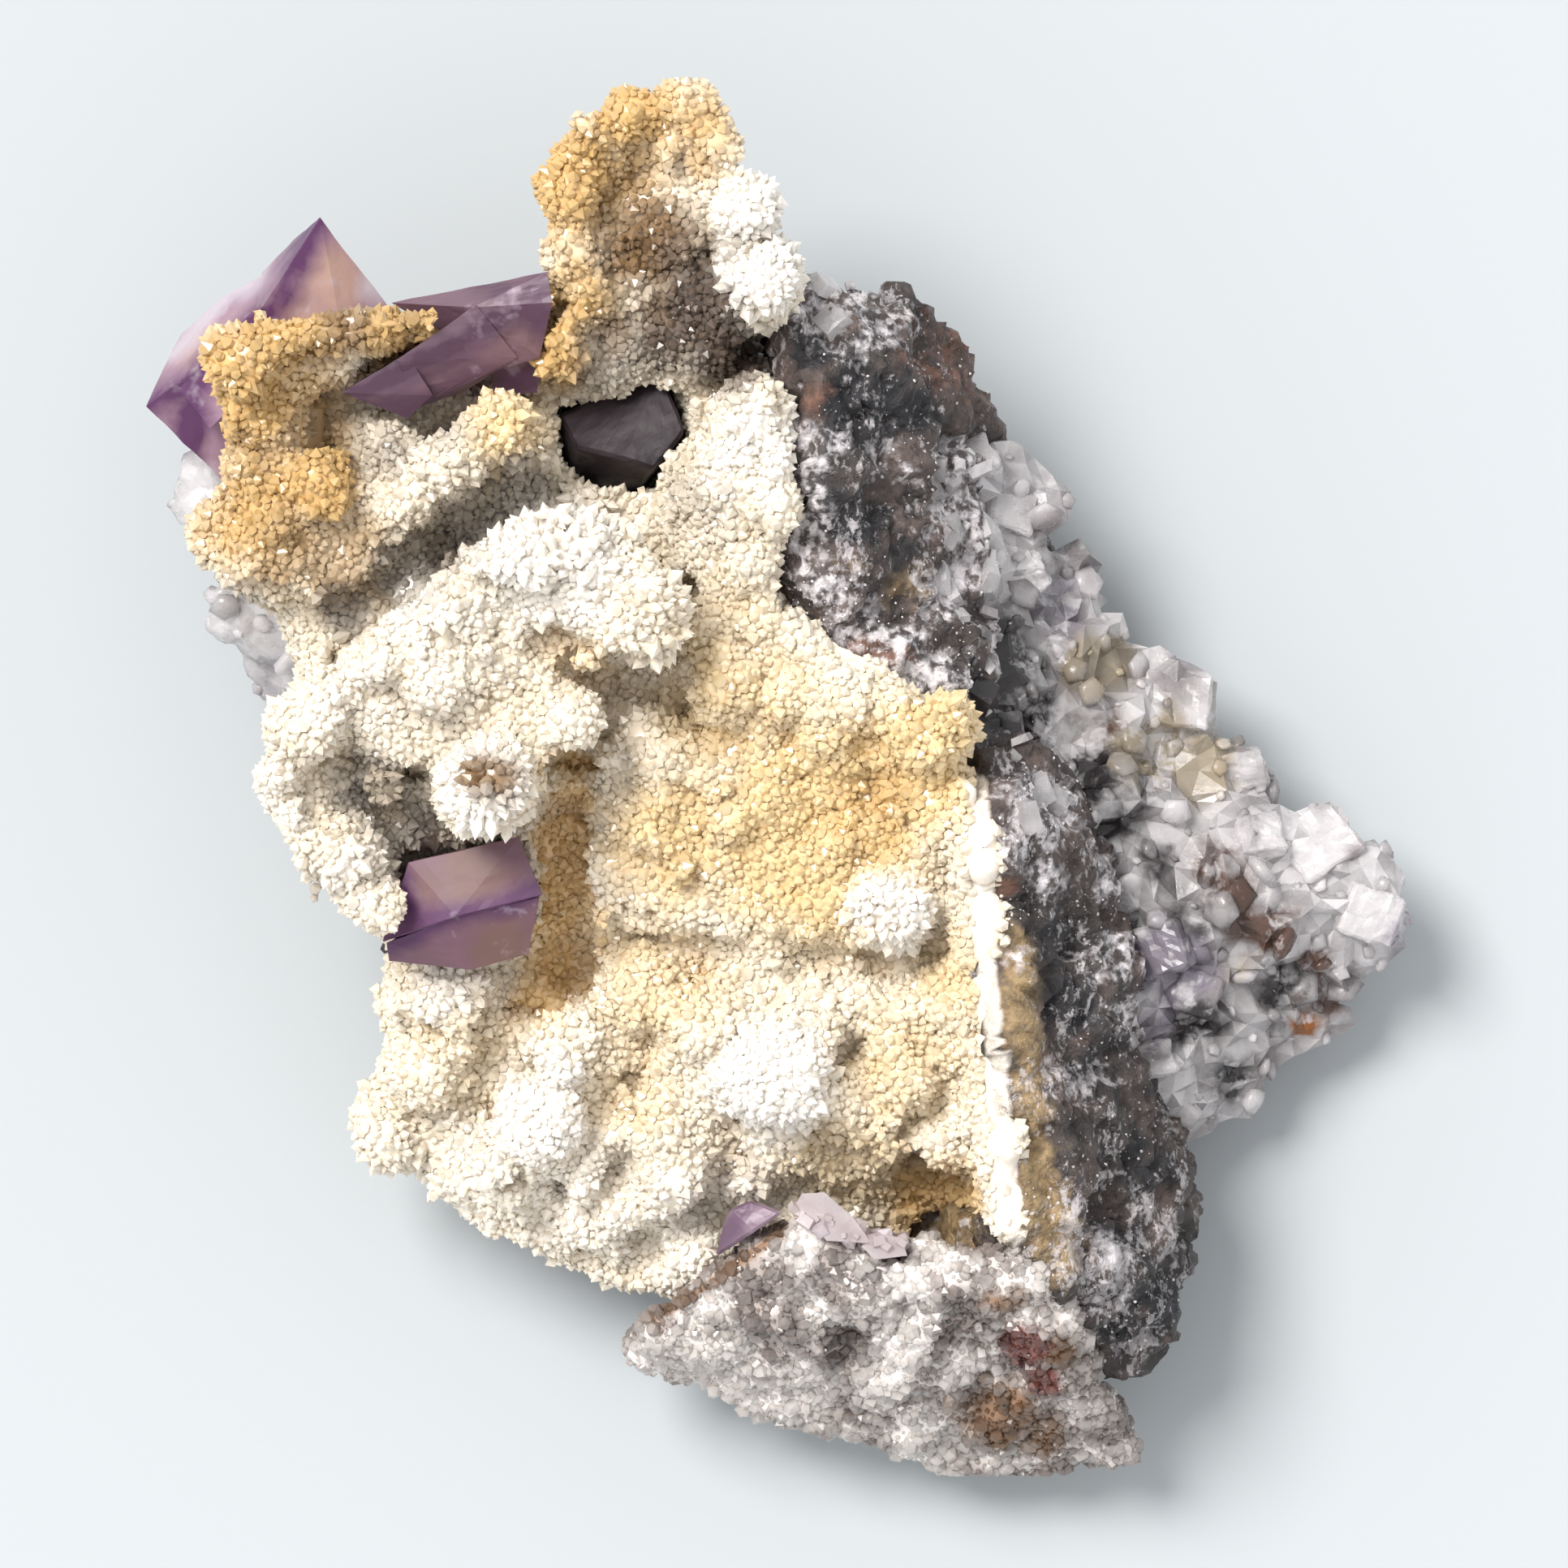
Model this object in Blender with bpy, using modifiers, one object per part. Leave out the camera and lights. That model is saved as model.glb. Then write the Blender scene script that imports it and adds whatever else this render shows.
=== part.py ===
# Purple fluorite with quartz: a hand-sized mineral specimen, lying on its broken back.
#
# +X points right and +Y up in the usual view, from above, and +Z points up from the table.
# The top is a druse: a crust of small quartz points over lobes and hollows, with crystals of
# purple fluorite standing out of it. The right and front sides are broken walls of dark rock,
# pale massive fluorite and sugary quartz.
#
# A mass of mineral is described by balls (x, y, z, radius) in millimetres. Balls in one group
# are wrapped in a convex hull, balls in one chain are wrapped two by two, and everything in a
# mass then grows together into one rough solid.

import random

import bmesh
import bpy
from mathutils import Matrix, Vector
from mathutils.bvhtree import BVHTree

MM = 0.001
CUTTER_GROWTH = 0.6 * MM  # how far a rough mass is grown before it cuts its neighbour
SLAB_SIZE = 200 * MM  # the block that trims the back flat

SEAT_CORNER = 0.8 * MM  # a fluorite crystal's seat has cubes of this size on its corners

# Quartz points that stand out of the druse.
POINT_COUNT = 64
POINT_SPACING = 3.8 * MM
POINT_RADIUS = (0.5 * MM, 0.85 * MM)
POINT_SEED = 11

# Cauliflower clusters that the druse swells into.
CLUSTER_COUNT = 360
CLUSTER_RADIUS = (0.9 * MM, 1.6 * MM)
CLUSTER_SEED = 5

# Triangles that each rough mass keeps.
CRUST_TRIANGLES = 2640
ROCK_TRIANGLES = 1050
PALE_TRIANGLES = 640
PALE_LEFT_TRIANGLES = 180
BROKEN_TRIANGLES = 480

# The druse. Its base joins every lobe, and the horn stands up at the top, with a raised rim
# round a shallow dish.
DRUSE_BASE = [
    [(-33, 22, 18, 2.0), (-31.4, 17, 16, 1.6), (-24.6, 9.6, 17, 2.0), (-28, 0, 19, 2.0),
     (-25.4, -7.6, 19, 2.0),
     (-14, -8, 16, 2.0), (5, -6, 18, 2.0), (8, 2, 20, 2.0), (-1, 10, 22, 2.0), (-3, 22, 23, 2.0),
     (-5, 32, 23, 2.0),
     (-12, 30, 20, 2.0), (-20, 25, 20, 2.0), (-30, 26, 19, 2.0), (-28, 20, 13, 2.0), (-27, 2, 13, 2.0),
     (-22, -8, 13, 2.0), (4, -6, 12, 2.0), (-4, 22, 14, 2.0), (-8, 32, 18, 2.0)],
]
HORN = [
    [(-7.2, 41.2, 31.2, 2.4), (-11.6, 39.8, 30.4, 2.4), (-12.4, 33, 28.6, 2.2), (-13, 28.6, 26.4, 2.2),
     (-10, 26.6, 24, 2.0), (-4.4, 27.6, 26.6, 2.0), (-3, 33, 29.4, 1.8), (-4.8, 38.4, 29.8, 1.8),
     (-6.6, 38.4, 22, 2.4), (-10, 33, 18.6, 2.4), (-5, 28, 18.6, 2.4)],
    [(-2.9, 36.8, 33.8, 1.6), (-2.6, 34.4, 33.4, 1.5), (-4, 35.4, 28, 1.6)],
    [(-1.5, 32, 33.6, 1.7), (-1.4, 29.8, 32.6, 1.6), (-3, 30, 26, 1.8)],
]
HORN_RIM = [
    (-14.4, 27.2, 29, 1.6), (-13.4, 30.6, 31.4, 1.4), (-13.4, 35, 32.8, 1.4), (-13.5, 39.6, 33.4, 1.5),
    (-12, 41.8, 34, 1.5), (-8.6, 43.1, 34.6, 1.6), (-5.8, 43, 34.8, 1.5), (-4.6, 40.2, 34.4, 1.3),
    (-3.4, 37.4, 34.4, 1.2),
]

# The left lobe curls round a deep hollow, above and left of the main lobe.
LEFT_LOBE = [
    [(-34.4, 25.6, 27.6, 2.0), (-34, 20, 26, 2.0), (-31.8, 24.6, 26, 1.6), (-31.9, 20.6, 26, 1.6),
     (-33, 22, 19, 2.4)],
    [(-31.6, 27.8, 29.2, 1.9), (-22.4, 29, 30, 1.5), (-30.4, 26.2, 27, 1.5), (-25.6, 27, 28.6, 1.2),
     (-28, 27.4, 19, 2.0)],
    [(-36.8, 16.4, 21.4, 2.0), (-35.6, 14.2, 21, 2.0), (-30, 12.6, 23, 2.0), (-26.6, 14, 23.6, 1.8),
     (-27.4, 18, 24.6, 1.6), (-33.6, 18.8, 25, 2.0), (-31, 15, 16, 2.6)],
    [(-30.6, 18.4, 27.6, 1.8), (-32.4, 17.4, 26.2, 1.6)],
    [(-25.4, 22.2, 26.8, 1.9), (-24, 20.4, 26, 1.7), (-25, 20.6, 20, 2.2)],
    [(-22, 18.6, 22.4, 2.2), (-17, 20.8, 22.4, 2.4), (-24.6, 16, 21.4, 2.0), (-20, 20, 17, 2.4)],
]
LEFT_RIM = [
    (-34.2, 20.4, 27.6, 1.4), (-34.8, 23.6, 29.4, 1.5), (-34.9, 26.4, 30.6, 1.5), (-31.8, 28, 31.6, 1.6),
    (-27, 29.2, 32, 1.5), (-22, 29.6, 32, 1.3),
]
FINGER = [
    (-25.2, 16.2, 25.4, 1.5), (-22.8, 18.8, 28, 1.9), (-19.2, 21.8, 30.4, 2.2), (-16.6, 21.6, 29.4, 1.9),
]

# The main lobe is the highest part: a broad back that falls to the lower left.
MAIN_LOBE = [
    [(-16.5, 14.3, 36.2, 2.8), (-10.8, 14.6, 34.4, 2.6), (-9.7, 11.4, 34.2, 2.0), (-23, 9.6, 33.6, 2.4),
     (-29.4, 4.6, 30.6, 2.3), (-16.2, 7.2, 32, 2.0), (-22, 3, 29.6, 2.2), (-28.6, 1, 26.6, 2.2),
     (-20, 8, 19, 4.0), (-15, 11, 21, 3.4)],
    [(-32, 0.3, 28.2, 2.0), (-30.6, -3, 27.2, 2.0), (-28.2, -6, 26.6, 1.8), (-26.2, -8, 25.6, 1.6),
     (-28.5, -1, 20, 2.8)],
    [(-18.6, -0.6, 31.2, 2.3), (-16, 0, 31.2, 1.6), (-15.6, 3.2, 31.6, 1.9), (-21.4, -0.4, 30.2, 1.9),
     (-20.5, 4, 28.6, 2.2), (-19, 1.5, 20, 2.4)],
    [(-25, -1.5, 22, 2.8), (-23, 2, 24, 2.6)],
]
MAIN_BUMPS = [
    (-15.6, 14.2, 38.4, 2.9), (-18.5, 14.2, 37.4, 2.3), (-12.4, 15.2, 37, 2.3), (-9.8, 13.4, 35.8, 2.2),
    (-8.7, 10.2, 35, 1.7), (-12, 9.9, 35.8, 2.0), (-21.6, 11.4, 36, 2.0), (-25.2, 8.2, 34.4, 2.0),
    (-28.4, 5.6, 32.8, 1.8), (-31.2, 2.6, 30.8, 1.7), (-32.6, -0.2, 29.8, 1.6), (-30.2, -4.2, 28.8, 1.5),
    (-27.4, -7.2, 27.6, 1.5), (-25.4, -8.6, 26.6, 1.3), (-18.4, -1.4, 33.4, 1.9), (-20.6, -1.6, 32.6, 1.5),
    (-16.2, -1.1, 32.8, 1.4), (-17.8, 1.6, 33.6, 1.6), (-14.8, 1.5, 32.8, 1.1), (-14, 4, 32.6, 1.4),
    (-20.2, 6.2, 33.2, 1.9), (-24.4, 3.6, 31, 1.8), (-15.8, 6.4, 33.4, 1.5),
]

# The ridge along the broken right side, and the yellow hill below it.
RIDGE = [
    [(-2.2, 23.6, 31.4, 2.1), (-0.4, 19, 31.6, 1.9), (-1.6, 14.5, 30.4, 1.9), (-6.6, 19, 25, 2.1),
     (-6.4, 14.6, 25.4, 2.1), (-3.4, 20, 20, 3.0), (-3, 14, 20, 3.0)],
    [(-2.2, 12, 29.4, 1.8), (0.4, 9.8, 29, 1.7), (4, 6.6, 28.6, 1.8), (8.4, 4.2, 28.4, 1.7),
     (10.2, 1.6, 28, 1.7), (10.4, -3, 26.4, 1.6), (-6.4, 8.6, 24.4, 2.1), (-1, 4, 24.6, 2.2),
     (5, 0, 24, 2.2),
     (0, 6, 17, 3.0), (7, 0, 17, 3.0)],
]
RIDGE_BUMPS = [
    (-1.8, 23.8, 33.6, 2.0), (-0.4, 20.6, 33.6, 1.8), (-0.4, 17.2, 32.8, 1.6), (-3.8, 19.6, 30.6, 2.0),
    (-6.2, 17, 28.6, 1.8), (-1.9, 13.4, 31.2, 1.6), (-4.6, 11.4, 29.2, 1.6), (-3.6, 6.6, 28, 1.9),
    (-1.2, 4.6, 27.8, 1.6), (1.4, 7.4, 29.6, 1.7), (3.4, 3.4, 29, 1.9), (7.2, 3, 29.4, 1.7),
    (10, 3.2, 29.2, 1.4), (10.7, 0, 28.4, 1.3),
]
YELLOW_HILL = [
    [(-13, -3.6, 21, 2.0), (-12.4, -7, 20.6, 1.9), (-6, -8, 22, 2.1), (1.5, -8.6, 22.4, 2.1),
     (6.4, -7.6, 23.4, 2.2), (10.2, -5, 24.6, 1.9), (10.4, 0, 25.6, 1.9), (5, 3, 26, 2.1),
     (-2, 3.4, 25.2, 2.1),
     (-9, 1.6, 23.6, 2.0), (-10, -4, 15, 2.4), (8, -6, 14, 3.0), (0, 3, 16, 3.0)],
]
YELLOW_BUMPS = [
    (6.6, -7.8, 25.4, 2.2), (-11.4, 1.3, 25, 1.5), (-7.8, 1, 25.6, 1.6), (-12.4, -5.4, 22.4, 1.7),
    (-7.4, -7.4, 23.4, 1.7), (-2, -8.6, 23.6, 1.8), (2.2, -8.8, 23.8, 1.6), (-3.4, -2.2, 26, 2.1),
    (3.6, -3, 26.4, 2.1), (9.6, -3.4, 26.4, 1.7), (-8.6, -3.2, 24.4, 1.9),
]

# Lower tiers: knobs that stand on a slab down to the lower left edge, round a deep ochre pit.
LOWER_SLAB = [
    [(-24.8, -12, 14, 2.0), (-25.4, -21.6, 11.6, 1.8), (-21, -26, 10.6, 1.7), (-10, -31.6, 9.6, 1.6),
     (-7.4, -32.6, 10.6, 1.4), (4, -26.4, 12, 2.0), (11.4, -27, 11, 2.0), (11, -8, 14, 2.4),
     (-14, -8, 12, 2.4), (-20, -14, 9, 2.4), (4, -20, 9, 2.4), (-12, -26, 8, 2.0)],
    [(-24.4, -10.2, 16, 1.8), (-22.6, -15, 16, 2.2), (-19.4, -12, 15, 1.8), (-22, -12, 12, 2.0)],
    [(-15, -20.5, 16.5, 2.4), (-6.8, -21, 16, 2.6), (-2, -14, 18, 2.4), (-10, -12, 17.4, 2.2),
     (8, -12, 19, 2.4),
     (9.6, -21, 17, 2.2), (0, -23, 15, 2.4)],
]
KNOBS = [
    (-9.8, -12.6, 19, 2.4), (-6.6, -14.6, 19.6, 2.6), (-1.8, -12.6, 19.4, 2.1), (0.8, -17.6, 23.4, 3.0),
    (-3.2, -18.4, 21.2, 2.4), (-1.8, -14.8, 21, 2.0), (2.4, -20.4, 22, 2.4), (6.8, -14.6, 21.6, 2.4),
    (10, -13.4, 21.8, 2.0), (8.2, -18.4, 20.8, 2.4), (5.2, -21.6, 19.6, 2.4), (9.8, -21.8, 19, 2.1),
    (1, -22.8, 18, 2.4), (-14.2, -15.8, 18.4, 2.4), (-12.8, -18.2, 18.8, 2.3), (-15.6, -20.2, 19.2, 2.4),
    (-17.6, -23, 17.6, 2.5), (-13.4, -23.4, 17.2, 2.5), (-8.6, -21.8, 17.8, 2.6), (-7.6, -26, 15.4, 2.6),
    (-11.5, -27.2, 13.8, 2.4), (-16.5, -26.6, 13.4, 2.2), (-21, -25, 13.4, 2.1), (-25.8, -22.2, 13.2, 1.8),
    (-23, -19.2, 14.4, 2.0), (-23.6, -14.4, 17.2, 2.2), (-19.6, -14.4, 16.4, 2.0), (-24.4, -11.4, 17, 1.7),
    (-6, -30.4, 13, 2.0), (-2.2, -25.2, 16.4, 2.2), (3, -25, 15.4, 1.9), (-24.2, -17, 14, 1.8),
    (-8.6, -32, 11.6, 1.4), (-13.4, -30, 11.6, 1.5), (-18.6, -28.2, 11.6, 1.5),
]
RIGHT_STRIP = [
    (11.3, -1, 27.4, 1.3), (11.9, -5, 26.4, 1.2), (12.5, -10.6, 24.8, 1.2), (13.1, -16, 23.8, 1.2),
    (13.8, -22, 23.6, 1.2), (14.2, -27.8, 24.2, 1.1),
]
STRIP_FOOT = [
    [(11.4, -6, 24, 1.6), (12, -14, 21.6, 1.5), (12.8, -24, 20.6, 1.4), (13.2, -27.6, 20.6, 1.2),
     (10, -10, 15, 1.8), (12, -26, 11, 1.8)],
]

# Hollows cut in the druse: inside the left lobe, the recess below the horn, the ochre pit, and two
# grey hollows of the main lobe. Channels: between the left and main lobes, the notch under the
# main lobe, the ochre channel, and the one below the yellow hill.
HOLLOWS = [
    [(-29.3, 24.2, 34, 1.3), (-29.2, 21.4, 34, 1.3), (-29.2, 22.8, 22, 1.2)],
    [(-13, 22.4, 34, 1.2), (-8.2, 25, 34, 1.1), (-7.6, 21.6, 34, 1.1), (-10.6, 18.8, 34, 1.0),
     (-13, 19.6, 34, 1.0),
     (-10.4, 21.6, 23, 2.4)],
    [(5.2, -26, 28, 1.1), (9.4, -24.6, 28, 1.3), (12, -26, 28, 1.0), (12, -28.4, 28, 1.0),
     (8, -28.4, 28, 1.0),
     (9, -26.6, 15.4, 1.6)],
    [(-26, -2, 32, 1.9), (-26.4, -1.6, 25.4, 1.6), (-24, -3.6, 31, 1.3)],
    [(-29, 1.6, 34, 1.3), (-29, 1.4, 28, 1.1)],
]
CHANNELS = [
    [(-29, 11, 22, 0.8), (-25.4, 12.6, 21.6, 1.0), (-20.6, 15.8, 21.6, 1.1), (-15.2, 18.9, 23, 1.0)],
    [(-15, 7.4, 28, 0.8), (-11.4, 6.8, 26.4, 0.9), (-8, 6.3, 26.4, 0.8)],
    [(-13.1, 0.3, 24, 0.8), (-14.2, -3, 21.6, 1.0), (-14.6, -8, 18.6, 1.2), (-14.2, -11.6, 17.6, 1.3),
     (-17.6, -14.2, 17.6, 0.9)],
    [(-12.6, -9.6, 20, 0.6), (-6, -10.4, 20.6, 0.6), (0, -11.4, 21, 0.6), (4, -12, 21, 0.6),
     (8, -11, 22, 0.6)],
]
OPEN_HEIGHT = 45  # channels are open to above this height

# The dark rock: a core with a flat back, two broken walls on the right, and roots of the lobes.
ROCK = [
    [(-19, -14, 0, 1.5), (-10, -22, 0, 1.5), (6, -33, 0, 1.5), (16, -31, 0, 1.5), (22, -14, 0, 1.5),
     (24, -4, 0, 1.5), (14, 12, 0, 1.5), (2, 23, 0, 1.5), (-10, 21, 0, 1.5), (-23, 10, 0, 1.5),
     (-24, -2, 0, 1.5), (-22, -17, 6, 1.5), (-9, -27.6, 5, 1.5), (14, -37, 6, 1.5), (24, -24, 8, 1.5),
     (22, 4, 10, 1.5), (13, 17, 10, 1.5), (3, 27, 11, 1.5), (-9, 27, 10, 1.5), (-28, 11, 8, 1.5),
     (-26.5, -2, 8.5, 1.5), (-3, 6, 12.5, 1.5)],
    [(0.4, 29.6, 30, 0.9), (1.8, 24, 31.2, 0.9), (2.2, 18.6, 30.6, 0.9), (1.8, 13.4, 28.6, 0.9),
     (3.2, 9.4, 27.6, 0.9),
     (8.4, 6.4, 25.8, 0.9), (4, 30, 23, 0.9), (7.9, 29, 19.6, 1.0), (10.6, 27.4, 16.6, 1.0),
     (12, 24.6, 14.6, 1.0),
     (13.4, 22, 13, 1.0), (12.6, 11, 16, 1.0), (4, 26, 6, 1.5), (10, 22, 4, 1.5), (2, 12, 6, 1.5)],
    [(13, -0.6, 25.8, 0.9), (13.8, -8, 24.2, 0.9), (14.9, -16, 23.4, 0.9), (15.9, -26, 23.8, 0.9),
     (17.4, -31, 23.2, 0.9), (20.4, -37.2, 12.4, 0.9), (23.8, -35.2, 9, 1.0), (25.1, -31, 9.6, 1.0),
     (24.6, -26, 11, 1.0), (21.4, -18, 14.4, 1.0), (20.6, -8, 16, 1.0), (17.6, 0, 17, 1.0),
     (11.6, 3.6, 23, 1.0),
     (12, -2, 3, 1.5), (23, -18, 3, 1.5), (20, -32, 3, 1.5), (12, -33, 3, 1.5)],
    [(8.6, 6.6, 25.4, 1.0), (11.8, 4.6, 23, 1.0), (12.6, 9, 19, 1.0), (10, 3, 24, 1.0), (11, 6, 12, 1.5)],
    [(19, 8, 8, 1.2), (29, -2, 5, 1.2), (34, -10, 3.6, 1.2), (29, -17, 3, 1.2), (22, -18, 7, 1.2),
     (18, 4, 0, 1.2), (27, -5, 0, 1.2), (25, -15, 0, 1.2)],
    [(-32, 17, 10.4, 1.4), (-30, 24.6, 12.4, 1.4), (-20, 26.6, 14, 1.4), (-15, 22, 12, 1.4),
     (-26, 10, 9, 1.4),
     (-20, 12, 3, 1.4), (-18, 20, 3, 1.4)],
    [(-6, 36.4, 18.6, 1.4), (-10, 34, 15.6, 1.4), (-1.4, 32.4, 19, 1.4), (-11, 27, 11, 1.4),
     (2, 28, 13, 1.4),
     (-8, 22, 2, 1.4), (0, 24, 2, 1.4)],
]

# Ledges that stand proud of the two broken walls.
LEDGES = [
    [(3.6, 28.4, 27.8, 0.8), (8.2, 28.4, 21.6, 0.8), (9, 25.4, 22.4, 0.8), (4.6, 24.2, 29, 0.8),
     (5, 27, 15, 1.0)],
    [(3.4, 21.6, 30.2, 0.8), (7, 20.6, 26.2, 0.8), (6.8, 15.6, 25.8, 0.8), (3.8, 15.4, 29, 0.8),
     (5, 18, 16, 1.0)],
    [(8.6, 24, 22, 0.8), (12.2, 22.8, 17, 0.8), (11.4, 18.4, 18.4, 0.8), (8, 18, 22.6, 0.8),
     (9, 20, 12, 1.0)],
    [(7.4, 14.6, 23.6, 0.8), (11.4, 14, 19.6, 0.8), (11, 9.4, 20.4, 0.8), (7.4, 9.6, 24.6, 0.8),
     (9, 12, 14, 1.0)],
    [(14.6, -2.6, 25, 0.8), (18.4, -4, 19.6, 0.8), (18.8, -9, 19.6, 0.8), (15, -8.6, 24.6, 0.8),
     (16, -6, 14, 1.0)],
    [(16.4, -11.6, 23, 0.8), (20.4, -13, 18, 0.8), (20.6, -18.6, 17.4, 0.8), (17, -19.6, 22.4, 0.8),
     (18, -16, 12, 1.0)],
    [(17.6, -22, 22.6, 0.8), (22.8, -23, 15, 0.8), (23.6, -28.4, 13.6, 0.8), (18.6, -29, 21.8, 0.8),
     (20, -26, 10, 1.0)],
    [(19.4, -31.4, 19, 0.8), (23.8, -31.6, 12, 0.8), (22.6, -35, 12, 0.8), (20, -35.4, 16, 0.8),
     (21, -33, 8, 1.0)],
]

# Pale massive fluorite: broken blocks low on the right side.
PALE = [
    [(9.8, 20.6, 18.4, 0.8), (14.8, 21.2, 14.4, 0.8), (16.8, 18.4, 12, 0.8), (16, 15.4, 13.6, 0.8),
     (10.4, 14, 18.6, 0.8), (12, 18, 8, 1.0)],
    [(11.6, 14.4, 18, 0.8), (18.4, 14.6, 10.6, 0.8), (19.6, 10.8, 9.6, 0.8), (13.4, 8.4, 17.6, 0.8),
     (12.2, 4.4, 18.6, 0.8), (17, 2, 14.4, 0.8), (20.4, 6, 11.4, 0.8), (15, 8, 7, 1.0)],
    [(19, 9.6, 10.6, 0.7), (22.4, 8.4, 10.4, 0.7), (27.4, 7.4, 9.6, 0.5), (27.7, 4, 9, 0.5),
     (23, 1, 11, 0.8),
     (17.6, 2, 14, 0.8), (22, 4, 5, 1.0), (26.6, 5.4, 6, 0.6)],
    [(23, 2, 11, 0.8), (29.4, 1.8, 9.4, 0.6), (31, -0.8, 8.6, 0.6), (27, -3, 11.4, 0.8),
     (20.6, -4, 14, 0.8),
     (26, -1, 4, 1.0)],
    [(27.4, -3, 12, 0.8), (33, -2.2, 9.6, 0.6), (35.4, -1.9, 9, 0.5), (38.2, -4.8, 9, 0.5),
     (40.2, -9, 7.6, 0.6),
     (39.9, -10.6, 6.8, 0.6), (36.6, -12.6, 6.6, 0.6), (30.6, -9, 12.2, 0.8), (25.6, -8, 13.6, 0.8),
     (31, -6, 4, 1.0)],
    [(26.6, -9, 13, 0.8), (36.4, -13, 6.4, 0.7), (35.4, -15.4, 5.4, 0.7), (32.4, -17.2, 5, 0.8),
     (26.6, -14, 11.4, 0.8),
     (29, -13, 3.4, 1.0)],
    [(22.2, -8, 14.4, 0.8), (27.4, -13, 11.4, 0.8), (31.4, -17.8, 5.4, 0.8), (28.8, -21.2, 5.4, 0.8),
     (25.8, -22.8, 6.6, 0.8), (22.8, -20, 11.4, 0.8), (22, -13, 13.4, 0.8), (25.4, -17, 3.4, 1.0)],
    [(17.6, 2, 15, 0.8), (21, -4.4, 14.4, 0.8), (23, -10, 13.8, 0.8), (25, -2, 12, 0.8), (21, -3, 8, 1.0)],
    [(22.6, -6, 14, 0.8), (26.4, -6.4, 13.8, 0.8), (27.4, -11, 12.8, 0.8), (23.4, -11, 13.6, 0.8),
     (25, -9, 7, 1.0)],
]
PALE_LEFT = [
    [(-36.6, 12.2, 14.6, 0.8), (-35.8, 9.6, 12, 0.8), (-31.4, 8.4, 13, 0.8), (-28.4, 9.6, 14, 0.8),
     (-30.4, 11.4, 14, 1.0), (-30, 9, 8, 1.0)],
    [(-34, 7.8, 9, 0.7), (-33.4, 5.8, 8, 0.7), (-31.2, 5.7, 8.4, 0.7), (-30, 7.2, 10, 0.8),
     (-31, 9, 6, 1.0)],
    [(-38.5, 20.6, 17, 0.5), (-38.7, 18.2, 16, 0.5), (-37, 18, 17, 0.7), (-37, 21, 17.6, 0.7),
     (-35, 15, 12, 1.0),
     (-32.6, 10, 10, 1.0)],
]

# Sugary quartz: the broken wall that faces the front.
BROKEN = [
    [(-9.6, -36.4, 9, 0.9), (-8.2, -34.6, 14.6, 0.9), (-3, -31, 19.4, 0.9), (1, -28.8, 22.4, 0.9),
     (8, -31.2, 23, 0.9), (16, -31, 23.6, 0.9), (17.6, -34, 20.4, 0.9), (19.8, -38.6, 12.4, 0.9),
     (21.8, -43, 6.4, 0.8), (15, -44, 5, 0.9), (9, -42.9, 6, 0.9), (2, -40.6, 6.6, 0.9),
     (-4, -38.6, 7, 0.9),
     (0, -34, 4, 2.0), (13, -37, 3, 2.0)],
    [(-1.6, -34, 18.4, 1.4), (2.6, -35.6, 16.6, 1.6)],
    [(7.4, -35, 18.8, 1.3), (8.2, -39.6, 12.4, 1.4)],
    [(15.8, -33.4, 21.6, 1.2), (18.2, -39, 13.6, 1.2)],
]

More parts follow.
